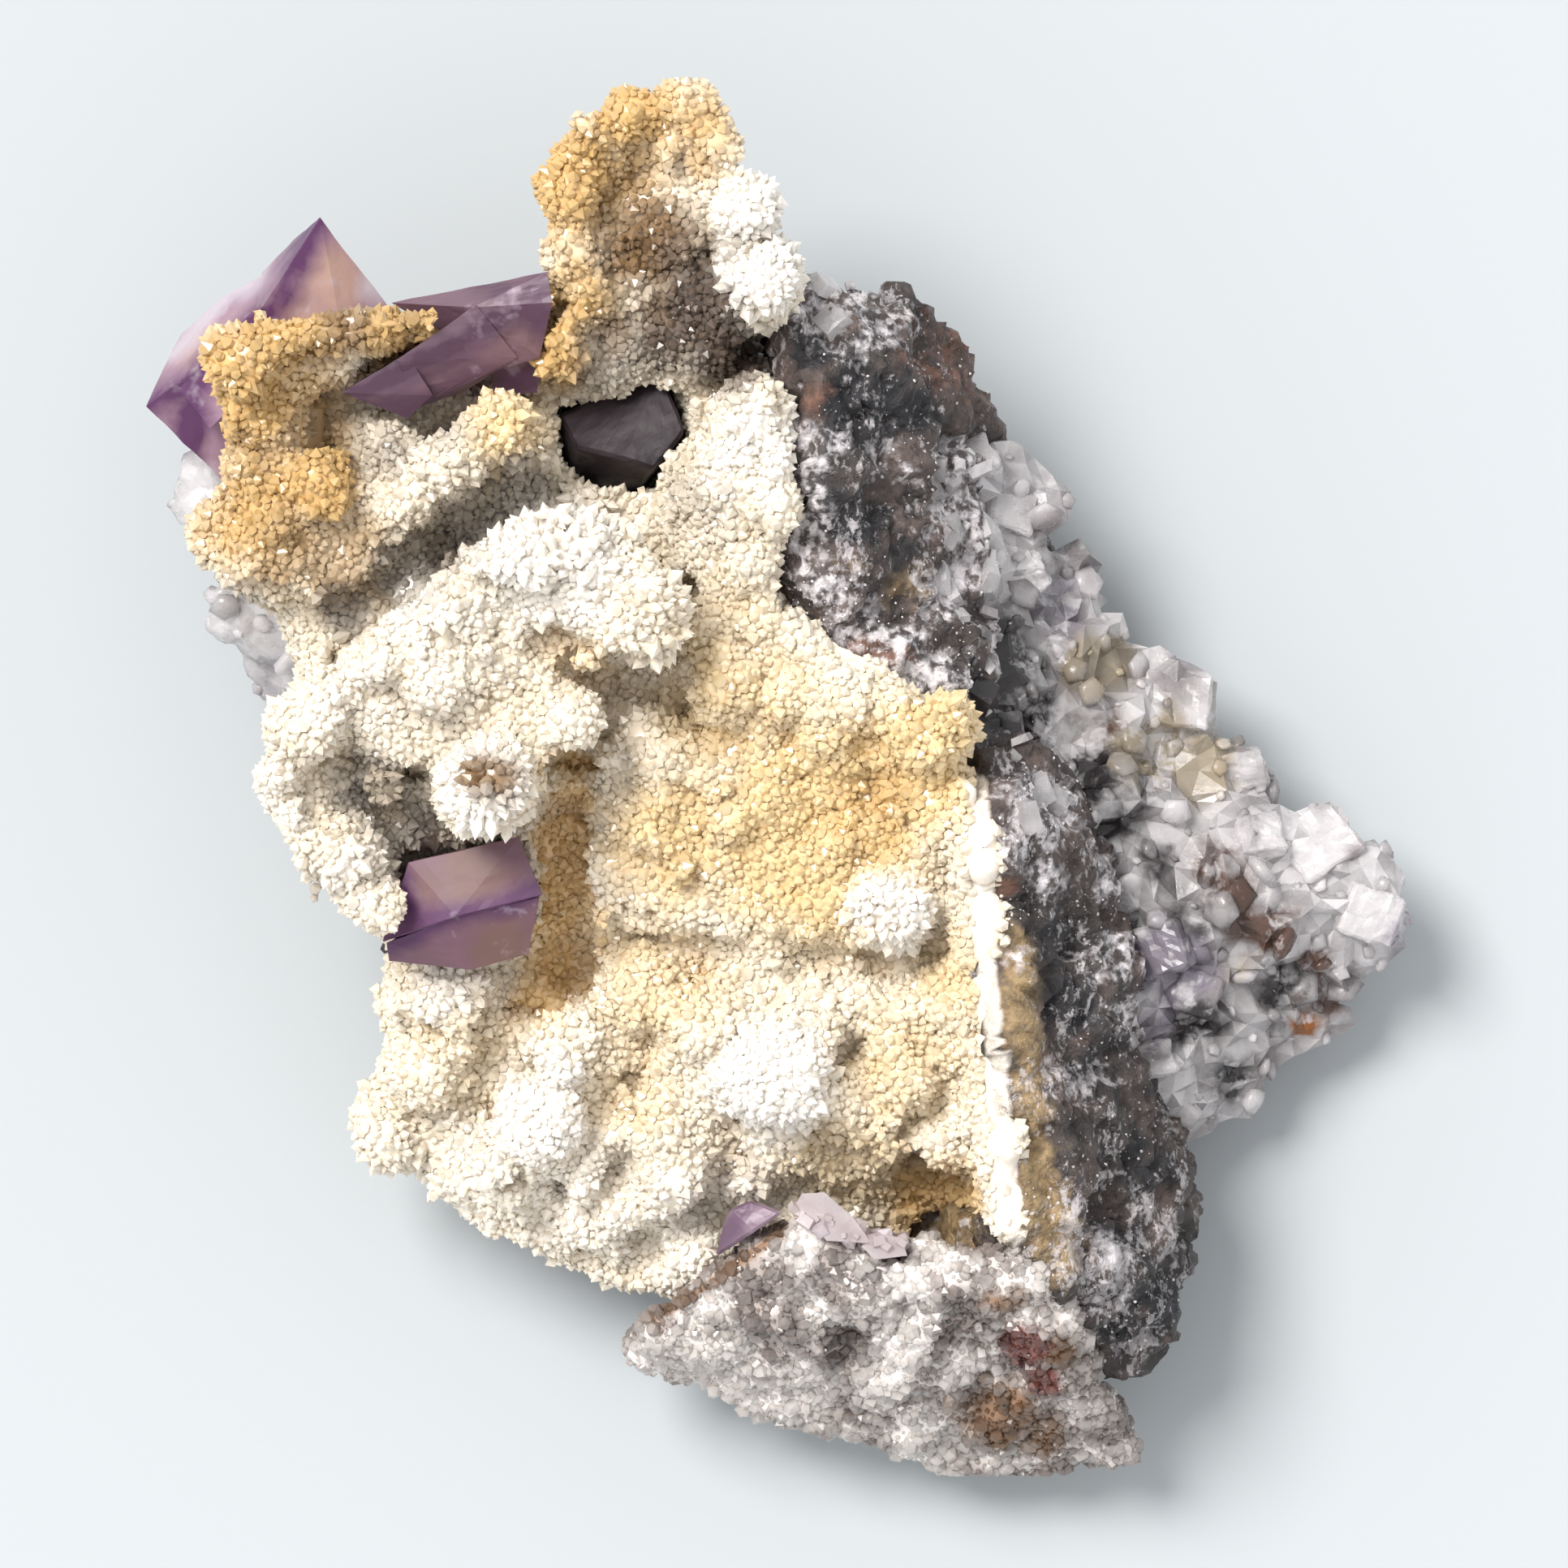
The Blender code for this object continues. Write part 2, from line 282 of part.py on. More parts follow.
# Fluorite crystals, by the corners of the flat-faced blocks that each one is grown from.
CRYSTALS = {
    "fluorite_left": [
        [(-40.7, 24, 23.4), (-33, 29.6, 26.6), (-38.6, 28.7, 19.6), (-36, 31, 20.4), (-33.4, 32.3, 21),
         (-36, 19.4, 21), (-31.4, 22, 22.4), (-35, 22, 15), (-31.4, 24, 15), (-33, 29, 15)],
        [(-29.6, 35.9, 26), (-33.8, 29.4, 26.4), (-33.4, 32.5, 21), (-31.4, 34.6, 20.6),
         (-25.2, 30.2, 23.4),
         (-28, 27.6, 25), (-30, 29, 15), (-27.4, 30, 15)],
        [(-38.8, 25.4, 24), (-33.4, 30.4, 26.6), (-32.4, 26.6, 26.8), (-36.6, 22.6, 24.6), (-34, 26, 20)],
    ],
    "fluorite_top": [
        [(-28.1, 24.8, 28.4), (-24, 27.2, 30.4), (-22.4, 24.6, 29), (-24, 23.2, 27.4), (-25.6, 26.6, 22),
         (-24, 24.6, 21)],
        [(-24.6, 26.8, 30.4), (-19.6, 30.2, 32.6), (-17, 27, 30.4), (-20.6, 24.8, 27.8),
         (-23.4, 23.8, 27.4),
         (-24, 26, 21), (-19, 26, 20), (-20, 30, 22)],
        [(-19.8, 30.1, 32.4), (-15.1, 32.3, 32.6), (-14.8, 30.4, 32.8), (-15.6, 27, 30.4),
         (-17.6, 26.4, 29.6),
         (-20.2, 31.1, 29), (-25, 30.5, 27.6), (-24, 30, 21), (-16, 30.6, 21), (-17, 27, 20)],
        [(-18.6, 26.8, 29.4), (-15.4, 27.2, 29.6), (-15.8, 24.8, 27.6), (-18.6, 24.6, 27), (-17, 26, 20)],
    ],
    "fluorite_recess": [
        [(-14.4, 23.4, 22.6), (-13.4, 21.4, 24), (-10.2, 20.6, 25.2), (-8.4, 20, 25.2), (-6.4, 22.4, 25),
         (-8, 26.4, 23.4), (-14, 18.4, 17), (-10, 18, 17), (-7, 21, 17), (-9, 26, 17), (-13.6, 25, 17)],
    ],
    "fluorite_lower": [
        [(-25.6, -10, 24.6), (-21, -8.4, 26.2), (-15.5, -7, 26.6), (-17, -3.4, 26.4), (-24, -5, 25),
         (-24, -9, 18), (-17, -8, 18), (-18, -4, 18), (-24, -5, 18)],
        [(-25.3, -11.3, 22.6), (-20, -11.8, 22.8), (-16.4, -10.8, 23.2), (-15.7, -7.2, 26.2),
         (-21, -8.5, 25.8),
         (-25.4, -10.1, 24.2), (-23, -9, 18), (-17, -8.6, 18)],
    ],
    "fluorite_small": [
        [(-4.5, -30.2, 19.4), (-3.7, -27.2, 21.2), (-2.3, -26.5, 21.4), (-0.2, -27.3, 22.2),
         (-2.2, -28.6, 22.2),
         (-4, -28.6, 15), (-1.2, -27.2, 15), (-2.4, -27, 15)],
    ],
    "fluorite_front": [
        [(0.4, -27.2, 23.4), (1, -26.1, 23), (2.4, -26, 23.2), (4.2, -27.5, 24), (5.4, -29.2, 24.2),
         (2.6, -29, 24.8),
         (1.4, -27, 18), (4.4, -28, 18)],
        [(4.8, -29.4, 24.2), (6.3, -28.7, 23.6), (7.3, -28.9, 23.6), (7.7, -30, 24.4), (5.6, -30.2, 24.6),
         (5.6, -29, 18), (7, -29.4, 18)],
    ],
}

# Base colours and finish of each mineral: red, green, blue, roughness.
FINISHES = {
    "quartz_druse": (0.70, 0.60, 0.42, 0.4),
    "rock": (0.20, 0.18, 0.17, 0.7),
    "pale_fluorite": (0.62, 0.60, 0.66, 0.35),
    "sugary_quartz": (0.66, 0.63, 0.62, 0.5),
    "purple_fluorite": (0.30, 0.17, 0.38, 0.2),
}


def clear_scene():
    for obj in list(bpy.data.objects):
        bpy.data.objects.remove(obj)


def new_collection(name, hidden=False):
    collection = bpy.data.collections.new(name)
    collection.hide_render = hidden
    bpy.context.scene.collection.children.link(collection)
    return collection


def material(name):
    red, green, blue, roughness = FINISHES[name]
    made = bpy.data.materials.get(name)
    if made is None:
        made = bpy.data.materials.new(name)
        made.use_nodes = True
        shader = made.node_tree.nodes["Principled BSDF"]
        shader.inputs["Base Color"].default_value = (red, green, blue, 1)
        shader.inputs["Roughness"].default_value = roughness
    return made


def add_object(name, mesh, collection):
    obj = bpy.data.objects.new(name, mesh)
    collection.objects.link(obj)
    return obj


def evaluated_mesh(obj):
    bpy.context.view_layer.update()
    graph = bpy.context.evaluated_depsgraph_get()
    return bpy.data.meshes.new_from_object(obj.evaluated_get(graph))


def apply_modifiers(obj):
    baked = evaluated_mesh(obj)
    obj.modifiers.clear()
    obj.data = baked


def add_hull(bm, spots, corner_size=0.0):
    """Adds the convex hull of some balls, or of plain corners with a cube of this size on each."""
    hull = bmesh.new()
    for x, y, z, *radius in spots:
        place = Matrix.Translation(Vector((x, y, z)) * MM)
        if radius:
            bmesh.ops.create_icosphere(hull, subdivisions=1, radius=radius[0] * MM, matrix=place)
        elif corner_size:
            bmesh.ops.create_cube(hull, size=corner_size, matrix=place)
        else:
            hull.verts.new(place.translation)
    points = [vertex.co.copy() for vertex in hull.verts]
    hull.clear()
    for point in points:
        hull.verts.new(point)
    made = bmesh.ops.convex_hull(hull, input=hull.verts)
    inside = made["geom_interior"] + made["geom_unused"]
    spare = {item for item in inside if isinstance(item, bmesh.types.BMVert)}
    bmesh.ops.delete(hull, geom=list(spare), context="VERTS")
    mesh = bpy.data.meshes.new("hull")
    hull.to_mesh(mesh)
    hull.free()
    bm.from_mesh(mesh)
    bpy.data.meshes.remove(mesh)


def rough_texture(name, grain):
    texture = bpy.data.textures.new(name, "CLOUDS")
    texture.noise_scale = grain
    texture.noise_depth = 3
    texture.contrast = 1.5
    return texture


def reduce_to(obj, triangles):
    """Collapses obj to about this many triangles."""
    apply_modifiers(obj)
    count = sum(len(polygon.vertices) - 2 for polygon in obj.data.polygons)
    decimate = obj.modifiers.new("Decimate", "DECIMATE")
    decimate.ratio = min(1.0, triangles / count)
    decimate.use_collapse_triangulate = True
    apply_modifiers(obj)


def add_clusters(bm, count):
    """Adds balls at random places on the faces of bm, half sunk in them."""
    chance = random.Random(CLUSTER_SEED)
    centres = [face.calc_center_median() for face in bm.faces]
    areas = [face.calc_area() for face in bm.faces]
    for spot in chance.choices(centres, areas, k=count):
        lean = Vector([chance.uniform(-1, 1) * MM for _ in range(3)])
        radius = chance.uniform(*CLUSTER_RADIUS)
        bmesh.ops.create_icosphere(bm, subdivisions=1, radius=radius, matrix=Matrix.Translation(spot + lean))


def add_remesh(obj, voxel):
    remesh = obj.modifiers.new("GrowTogether", "REMESH")
    remesh.mode = "VOXEL"
    remesh.voxel_size = voxel


def grown_together(name, collection, voxel, hulls, chains=(), bumps=(), clusters=0):
    """One body of hulls, chains, single bumps and random clusters."""
    bm = bmesh.new()
    for balls in hulls:
        add_hull(bm, balls)
    for chain in chains:
        for pair in zip(chain, chain[1:]):
            add_hull(bm, pair)
    for ball in bumps:
        add_hull(bm, [ball])
    add_clusters(bm, clusters)
    mesh = bpy.data.meshes.new(name)
    bm.to_mesh(mesh)
    bm.free()
    obj = add_object(name, mesh, collection)
    add_remesh(obj, voxel)
    apply_modifiers(obj)
    return obj


def rough_mass(name, collection, voxel=0.7 * MM, grain=5 * MM, relief=1.0 * MM, triangles=1000, hollows=None,
               **shapes):
    """Grows shapes together into one rough faceted solid."""
    obj = grown_together(name, collection, voxel, **shapes)
    if hollows:
        add_boolean(obj, hollows, "DIFFERENCE")
        add_remesh(obj, voxel)
    smooth = obj.modifiers.new("Soften", "SMOOTH")
    smooth.iterations = 2
    displace = obj.modifiers.new("Roughen", "DISPLACE")
    displace.texture = rough_texture(name, grain)
    displace.texture_coords = "LOCAL"
    displace.strength = relief
    reduce_to(obj, triangles)
    keep_largest_body(obj)
    return obj


def keep_largest_body(obj):
    """Removes any loose chip that a cut or the roughening left."""
    bm = bmesh.new()
    bm.from_mesh(obj.data)
    left = set(bm.verts)
    bodies = []
    while left:
        body, edge_of_body = set(), [left.pop()]
        while edge_of_body:
            vertex = edge_of_body.pop()
            body.add(vertex)
            for edge in vertex.link_edges:
                other = edge.other_vert(vertex)
                if other in left:
                    left.discard(other)
                    edge_of_body.append(other)
        bodies.append(body)
    bodies.sort(key=len)
    for body in bodies[:-1]:
        bmesh.ops.delete(bm, geom=list(body), context="VERTS")
    bm.to_mesh(obj.data)
    bm.free()


def add_boolean(obj, other, operation, solver="EXACT"):
    boolean = obj.modifiers.new(operation.title(), "BOOLEAN")
    boolean.operation = operation
    boolean.solver = solver
    boolean.object = other


def flat_block(name, collection, corners, corner_size):
    bm = bmesh.new()
    add_hull(bm, corners, corner_size)
    mesh = bpy.data.meshes.new(name)
    bm.to_mesh(mesh)
    bm.free()
    return add_object(name, mesh, collection)


def crystal(name, collection, cutters, blocks, corner_size=0.0):
    """Blocks grown together in one crystal. With cubes on its corners it cuts its own seat."""
    main = flat_block(name, collection, blocks[0], corner_size)
    for number, corners in enumerate(blocks[1:], 1):
        add_boolean(main, flat_block(f"{name}_block{number}", cutters, corners, corner_size), "UNION")
    apply_modifiers(main)
    return main


def grown_copy(obj, cutters, growth, triangles):
    """A slightly larger copy of a rough mass, used to cut the seat that a neighbour has on it."""
    copy = add_object(obj.name + "_seat", obj.data.copy(), cutters)
    swell = copy.modifiers.new("Swell", "DISPLACE")
    swell.mid_level = 0
    swell.strength = growth
    add_remesh(copy, 0.6 * MM)
    reduce_to(copy, triangles)
    return copy


def cut_with(obj, cutters):
    """Takes each cutter out of obj. Rough masses fold over themselves, where EXACT leaves holes."""
    for cutter in cutters:
        add_boolean(obj, cutter, "DIFFERENCE", "MANIFOLD")
        apply_modifiers(obj)
    keep_largest_body(obj)


def trim_back(obj, cutters):
    """Cuts obj off flat on the table plane."""
    bm = bmesh.new()
    place = Matrix.Translation((0, 0, -SLAB_SIZE / 2))
    bmesh.ops.create_cube(bm, size=SLAB_SIZE, matrix=place)
    mesh = bpy.data.meshes.new("table")
    bm.to_mesh(mesh)
    bm.free()
    add_boolean(obj, add_object("table_" + obj.name, mesh, cutters), "DIFFERENCE")
    apply_modifiers(obj)


def add_quartz_point(bm, foot, direction, radius, length, turn):
    """A six-sided prism with a pyramid on it, standing on foot."""
    place = Matrix.Translation(foot) @ direction.to_track_quat("Z", "Y").to_matrix().to_4x4()
    place = place @ Matrix.Rotation(turn, 4, "Z") @ Matrix.Translation((0, 0, length / 2))
    made = bmesh.ops.create_cone(bm, cap_ends=True, segments=6, radius1=radius * 0.82, radius2=radius,
                                 depth=length, matrix=place)
    faces = {face for vertex in made["verts"] for face in vertex.link_faces}
    top = max(faces, key=lambda face: (face.calc_center_median() - foot).dot(direction))
    tip = bmesh.ops.poke(bm, faces=[top])["verts"][0]
    tip.co += direction * radius * 1.5


def surface_tree(objects):
    trees = []
    for obj in objects:
        bm = bmesh.new()
        bm.from_mesh(obj.data)
        trees.append(BVHTree.FromBMesh(bm))
        bm.free()
    return trees


def quartz_points(druse, cutters, seats):
    """Scatters the larger quartz points over the druse, clear of the seats cut in it."""
    chance = random.Random(POINT_SEED)
    trees = surface_tree(seats)
    faces = [face for face in druse.data.polygons if face.normal.z > 0.05]
    areas = [face.area for face in faces]
    bm = bmesh.new()
    taken = []
    tries = 0
    while len(taken) < POINT_COUNT and tries < 8000:
        tries += 1
        face = chance.choices(faces, areas)[0]
        spot = face.center
        near_seat = any(tree.find_nearest(spot, POINT_SPACING * 0.8)[0] is not None for tree in trees)
        if near_seat or any((spot - other).length < POINT_SPACING for other in taken):
            continue
        taken.append(spot.copy())
        radius = chance.uniform(*POINT_RADIUS)
        lean = Vector([chance.gauss(0, 0.22) for _ in range(3)])
        direction = (face.normal + lean).normalized()
        foot = spot - direction * radius * 1.2
        add_quartz_point(bm, foot, direction, radius, radius * 2.4, chance.uniform(0, 6))
    mesh = bpy.data.meshes.new("quartz_points")
    bm.to_mesh(mesh)
    bm.free()
    return add_object("quartz_points", mesh, cutters)


def centre_on_origin(objects):
    """Moves every mesh sideways, so that the box round them all stands on the origin."""
    spots = [vertex.co for obj in objects for vertex in obj.data.vertices]
    middle = [(min(spot[axis] for spot in spots) + max(spot[axis] for spot in spots)) / 2 for axis in (0, 1)]
    for obj in objects:
        obj.data.transform(Matrix.Translation((-middle[0], -middle[1], 0)))


def build():
    clear_scene()
    specimen = new_collection("purple_fluorite_with_quartz")
    cutters = new_collection("cutters", hidden=True)

    crystals, crystal_seats = [], []
    for name, blocks in CRYSTALS.items():
        crystals.append(crystal(name, specimen, cutters, blocks))
        crystal_seats.append(crystal(name + "_seat", cutters, cutters, blocks, SEAT_CORNER))

    pale = rough_mass("pale_fluorite", specimen, hulls=PALE, relief=1.8 * MM, grain=3.5 * MM,
                      triangles=PALE_TRIANGLES)
    pale_left = rough_mass("pale_fluorite_left", specimen, hulls=PALE_LEFT, voxel=0.5 * MM, relief=0.6 * MM,
                           grain=3 * MM, triangles=PALE_LEFT_TRIANGLES)
    broken = rough_mass("broken_quartz", specimen, hulls=BROKEN, relief=1.4 * MM, grain=2.5 * MM,
                        triangles=BROKEN_TRIANGLES)
    cut_with(broken, crystal_seats[-2:])
    mineral_seats = [grown_copy(mass, cutters, CUTTER_GROWTH, mass_triangles) for mass, mass_triangles in
                     ((pale, 520), (pale_left, 130), (broken, 300))]
    cut_with(pale, [mineral_seats[2]])

    rock = rough_mass("rock_matrix", specimen, hulls=ROCK + LEDGES, relief=3.0 * MM, grain=5 * MM,
                      triangles=ROCK_TRIANGLES)
    cut_with(rock, crystal_seats + mineral_seats)
    trim_back(rock, cutters)
    rock_seat = grown_copy(rock, cutters, CUTTER_GROWTH, 800)

    channels = [[(x, y, height, radius) for x, y, floor, radius in pair for height in (floor, OPEN_HEIGHT)]
                for chain in CHANNELS for pair in zip(chain, chain[1:])]
    hollows = grown_together("hollows", cutters, 0.7 * MM, HOLLOWS + channels)
    druse = rough_mass(
        "quartz_druse", specimen,
        hulls=DRUSE_BASE + HORN + LEFT_LOBE + MAIN_LOBE + RIDGE + YELLOW_HILL + LOWER_SLAB + STRIP_FOOT,
        chains=[HORN_RIM, LEFT_RIM, FINGER, RIGHT_STRIP],
        bumps=MAIN_BUMPS + RIDGE_BUMPS + YELLOW_BUMPS + KNOBS, clusters=CLUSTER_COUNT,
        hollows=hollows, relief=1.2 * MM, grain=3 * MM, triangles=CRUST_TRIANGLES)
    seats = crystal_seats + mineral_seats + [rock_seat]
    add_boolean(druse, quartz_points(druse, cutters, seats), "UNION", "MANIFOLD")
    apply_modifiers(druse)
    cut_with(druse, seats)

    finish_of = {druse: "quartz_druse", rock: "rock", pale: "pale_fluorite", pale_left: "pale_fluorite",
                 broken: "sugary_quartz"}
    finish_of.update({fluorite: "purple_fluorite" for fluorite in crystals})
    centre_on_origin(finish_of)
    for obj, finish in finish_of.items():
        obj.data.materials.clear()
        obj.data.materials.append(material(finish))
    for obj in cutters.objects:
        obj.hide_render = True
        obj.display_type = "WIRE"


build()
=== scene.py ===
import math
import random

import bmesh
import bpy
import numpy as np
from mathutils import Euler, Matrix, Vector


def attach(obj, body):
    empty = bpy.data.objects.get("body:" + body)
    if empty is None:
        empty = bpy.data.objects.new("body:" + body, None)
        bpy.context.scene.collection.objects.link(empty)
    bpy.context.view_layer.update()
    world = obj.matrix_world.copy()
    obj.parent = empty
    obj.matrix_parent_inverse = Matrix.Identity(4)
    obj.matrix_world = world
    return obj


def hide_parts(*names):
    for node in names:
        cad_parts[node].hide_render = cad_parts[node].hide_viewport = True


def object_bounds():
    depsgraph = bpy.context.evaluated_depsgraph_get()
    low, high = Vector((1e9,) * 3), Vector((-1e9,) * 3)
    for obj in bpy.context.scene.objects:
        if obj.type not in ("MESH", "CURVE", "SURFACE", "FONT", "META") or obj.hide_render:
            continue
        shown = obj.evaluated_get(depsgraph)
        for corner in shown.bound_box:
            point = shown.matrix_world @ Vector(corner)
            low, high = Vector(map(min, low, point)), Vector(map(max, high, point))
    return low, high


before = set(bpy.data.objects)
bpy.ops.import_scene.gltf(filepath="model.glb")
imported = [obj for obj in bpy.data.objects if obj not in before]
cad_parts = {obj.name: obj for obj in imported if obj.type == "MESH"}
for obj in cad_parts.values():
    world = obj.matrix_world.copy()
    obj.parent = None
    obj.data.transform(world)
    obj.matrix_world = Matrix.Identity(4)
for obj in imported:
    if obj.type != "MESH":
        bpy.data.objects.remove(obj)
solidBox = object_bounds()
mm = 0.001


def tone(red, green, blue):
    # screen colour, 0 to 255, as a shader colour
    steps = [value / 255 for value in (red, green, blue)]
    return [step / 12.92 if step < 0.04045 else ((step + 0.055) / 1.055) ** 2.4 for step in steps] + [1.0]


# ---- node helpers, for both shader and geometry trees

def feed(tree, socket, value):
    if isinstance(value, bpy.types.NodeSocket):
        tree.links.new(value, socket)
    else:
        socket.default_value = value


def addNode(tree, kind, inputs=None, **settings):
    node = tree.nodes.new(kind)
    for name, value in settings.items():
        setattr(node, name, value)
    for name, value in (inputs or {}).items():
        feed(tree, node.inputs[name], value)
    return node


def mathOf(tree, operation, first, second=0.0, clamp=False):
    node = addNode(tree, "ShaderNodeMath", {0: first, 1: second}, operation=operation, use_clamp=clamp)
    return node.outputs[0]


def timesOf(tree, first, second, clamp=False):
    return mathOf(tree, "MULTIPLY", first, second, clamp)


def plusOf(tree, first, second, clamp=False):
    return mathOf(tree, "ADD", first, second, clamp)


def lessOf(tree, first, second, clamp=False):
    return mathOf(tree, "SUBTRACT", first, second, clamp)


def vectorOf(tree, operation, first, second):
    name = "Scale" if operation == "SCALE" else 1
    node = addNode(tree, "ShaderNodeVectorMath", {0: first, name: second}, operation=operation)
    return node.outputs[0]


def mixOf(tree, mask, below, above):
    node = addNode(tree, "ShaderNodeMix", {0: mask, 6: below, 7: above}, data_type="RGBA")
    return node.outputs[2]


def remapOf(tree, value, fromLow, fromHigh, toLow=0.0, toHigh=1.0):
    node = addNode(tree, "ShaderNodeMapRange", {0: value, 1: fromLow, 2: fromHigh, 3: toLow, 4: toHigh})
    return node.outputs[0]


def noiseOf(tree, place, scale, detail=3.0, roughness=0.5):
    inputs = {"Vector": place, "Scale": scale, "Detail": detail, "Roughness": roughness}
    return addNode(tree, "ShaderNodeTexNoise", inputs).outputs["Fac"]


def cellsOf(tree, place, scale, **settings):
    return addNode(tree, "ShaderNodeTexVoronoi", {"Vector": place, "Scale": scale}, **settings).outputs


def newTree(kind, name, inputs, output):
    # each input is named with its usual value, or with the type of its socket
    tree = bpy.data.node_groups.new(name, kind)
    for way, sockets in (("INPUT", inputs), ("OUTPUT", output)):
        for label, usual in sockets.items():
            socketType = usual if isinstance(usual, str) else "Float"
            socket = tree.interface.new_socket(label, in_out=way, socket_type="NodeSocket" + socketType)
            if usual != socketType:
                socket.default_value = usual
    return tree, tree.nodes.new("NodeGroupInput").outputs, tree.nodes.new("NodeGroupOutput").inputs


# ---- shader groups

def buildRaggedMask():
    # turns a soft zone into one with a ragged, natural edge
    tree, given, result = newTree(
        "ShaderNodeTree", "raggedMask",
        {"Vector": "Vector", "Zone": 0.0, "Scale": 300.0, "Raggedness": 0.6, "Sharpness": 1.6}, {"Mask": "Float"})
    noise = noiseOf(tree, given["Vector"], given["Scale"], 6.0, 0.6)
    push = timesOf(tree, lessOf(tree, noise, 0.5), given["Raggedness"])
    weight = plusOf(tree, lessOf(tree, given["Zone"], 0.45), push)
    weight = plusOf(tree, timesOf(tree, weight, given["Sharpness"]), 0.5, clamp=True)
    inZone = remapOf(tree, given["Zone"], 0.0, 0.15)  # nothing spills over where the zone is empty
    feed(tree, result["Mask"], timesOf(tree, weight, inZone, clamp=True))
    return tree


def buildFlecks():
    # small bright specks in dark rock, thicker in some patches than in others
    tree, given, result = newTree(
        "ShaderNodeTree", "flecks", {"Vector": "Vector", "Scale": 900.0, "Amount": 0.4, "Patch Scale": 160.0},
        {"Mask": "Float"})
    specks = noiseOf(tree, given["Vector"], given["Scale"], 3.0, 0.7)
    patches = noiseOf(tree, given["Vector"], given["Patch Scale"], 4.0)
    reach = lessOf(tree, patches, 0.5)
    weight = plusOf(tree, lessOf(tree, specks, 1.0), given["Amount"])
    hardness = 9.0  # how crisp a speck's edge is
    feed(tree, result["Mask"], timesOf(tree, plusOf(tree, weight, reach), hardness, clamp=True))
    return tree


def buildGrainHeight():
    # height of fine grain and pits for a Bump node
    tree, given, result = newTree(
        "ShaderNodeTree", "grainHeight", {"Vector": "Vector", "Grain Scale": 1500.0, "Pit Scale": 500.0, "Pits": 0.5},
        {"Height": "Float"})
    grain = noiseOf(tree, given["Vector"], given["Grain Scale"], 5.0, 0.65)
    pits = cellsOf(tree, given["Vector"], given["Pit Scale"])["Distance"]
    feed(tree, result["Height"], plusOf(tree, grain, timesOf(tree, pits, given["Pits"])))
    return tree


raggedMask = buildRaggedMask()
flecks = buildFlecks()
grainHeight = buildGrainHeight()
quartzIor = 1.544
fluoriteIor = 1.434


def newMaterial(name, roughness, clearness=0.0, ior=1.5):
    made = bpy.data.materials.new(name)
    made.use_nodes = True
    shader = made.node_tree.nodes["Principled BSDF"]
    shader.inputs["Roughness"].default_value = roughness
    shader.inputs["Transmission Weight"].default_value = clearness
    shader.inputs["IOR"].default_value = ior
    place = made.node_tree.nodes.new("ShaderNodeTexCoord").outputs["Object"]
    return made, made.node_tree, shader, place


def groupOf(tree, group, inputs):
    node = tree.nodes.new("ShaderNodeGroup")
    node.node_tree = group
    for name, value in inputs.items():
        feed(tree, node.inputs[name], value)
    return node.outputs[0]


def zoneOf(tree, name):
    return addNode(tree, "ShaderNodeAttribute", attribute_name=name).outputs["Fac"]


def raggedZone(tree, place, name, edge):
    scale, raggedness, sharpness = edge
    return groupOf(tree, raggedMask, {"Vector": place, "Zone": zoneOf(tree, name), "Scale": scale,
                                      "Raggedness": raggedness, "Sharpness": sharpness})


def mixZones(tree, place, colour, names, look):
    # lays the look's colour for each painted zone over the last one
    for name in names:
        colour = mixOf(tree, raggedZone(tree, place, name, look["edge"]), colour, look[name])
    return colour


def spread(tree, value, low, high):
    # a value from 0 to 1, brought to the range from low to high
    return remapOf(tree, value, 0.0, 1.0, low, high)


def fleckMask(tree, place, scale, amount, patchScale):
    return groupOf(tree, flecks, {"Vector": place, "Scale": scale, "Amount": amount, "Patch Scale": patchScale})


def addBump(tree, shader, height, strength, distance):
    bump = addNode(tree, "ShaderNodeBump", {"Height": height, "Strength": strength, "Distance": distance})
    tree.links.new(bump.outputs["Normal"], shader.inputs["Normal"])


def addGrain(tree, shader, place, grain):
    # fine grain and pits: two scales, how deep the pits are, and the bump's strength and depth
    grainScale, pitScale, pits, strength, depth = grain
    height = groupOf(tree, grainHeight, {"Vector": place, "Grain Scale": grainScale, "Pit Scale": pitScale,
                                         "Pits": pits})
    addBump(tree, shader, height, strength, depth)


# ---- geometry trees

def attributeOf(tree, label, kind="FLOAT"):
    return addNode(tree, "GeometryNodeInputNamedAttribute", {"Name": label}, data_type=kind).outputs[0]


def storeOf(tree, geometry, label, value):
    return addNode(tree, "GeometryNodeStoreNamedAttribute", {"Geometry": geometry, "Name": label, "Value": value},
                   data_type="FLOAT", domain="POINT").outputs[0]


roughSizes = {  # the inputs of the roughening tree: the name in a look, and the usual value
    "Swell": ("swell", 0.0), "Knob Height": ("knobHeight", 0.0), "Hollow Depth": ("hollowDepth", 0.0),
    "Cluster Size": ("clusterSize", 3 * mm), "Cluster Height": ("clusterHeight", 0.0),
    "Crag Size": ("cragSize", 4 * mm), "Crag Height": ("cragHeight", 0.0),
    "Block Size": ("blockSize", 3 * mm), "Block Height": ("blockHeight", 0.0),
    "Grain Size": ("grainSize", 0.8 * mm), "Grain Height": ("grainHeight", 0.0),
}


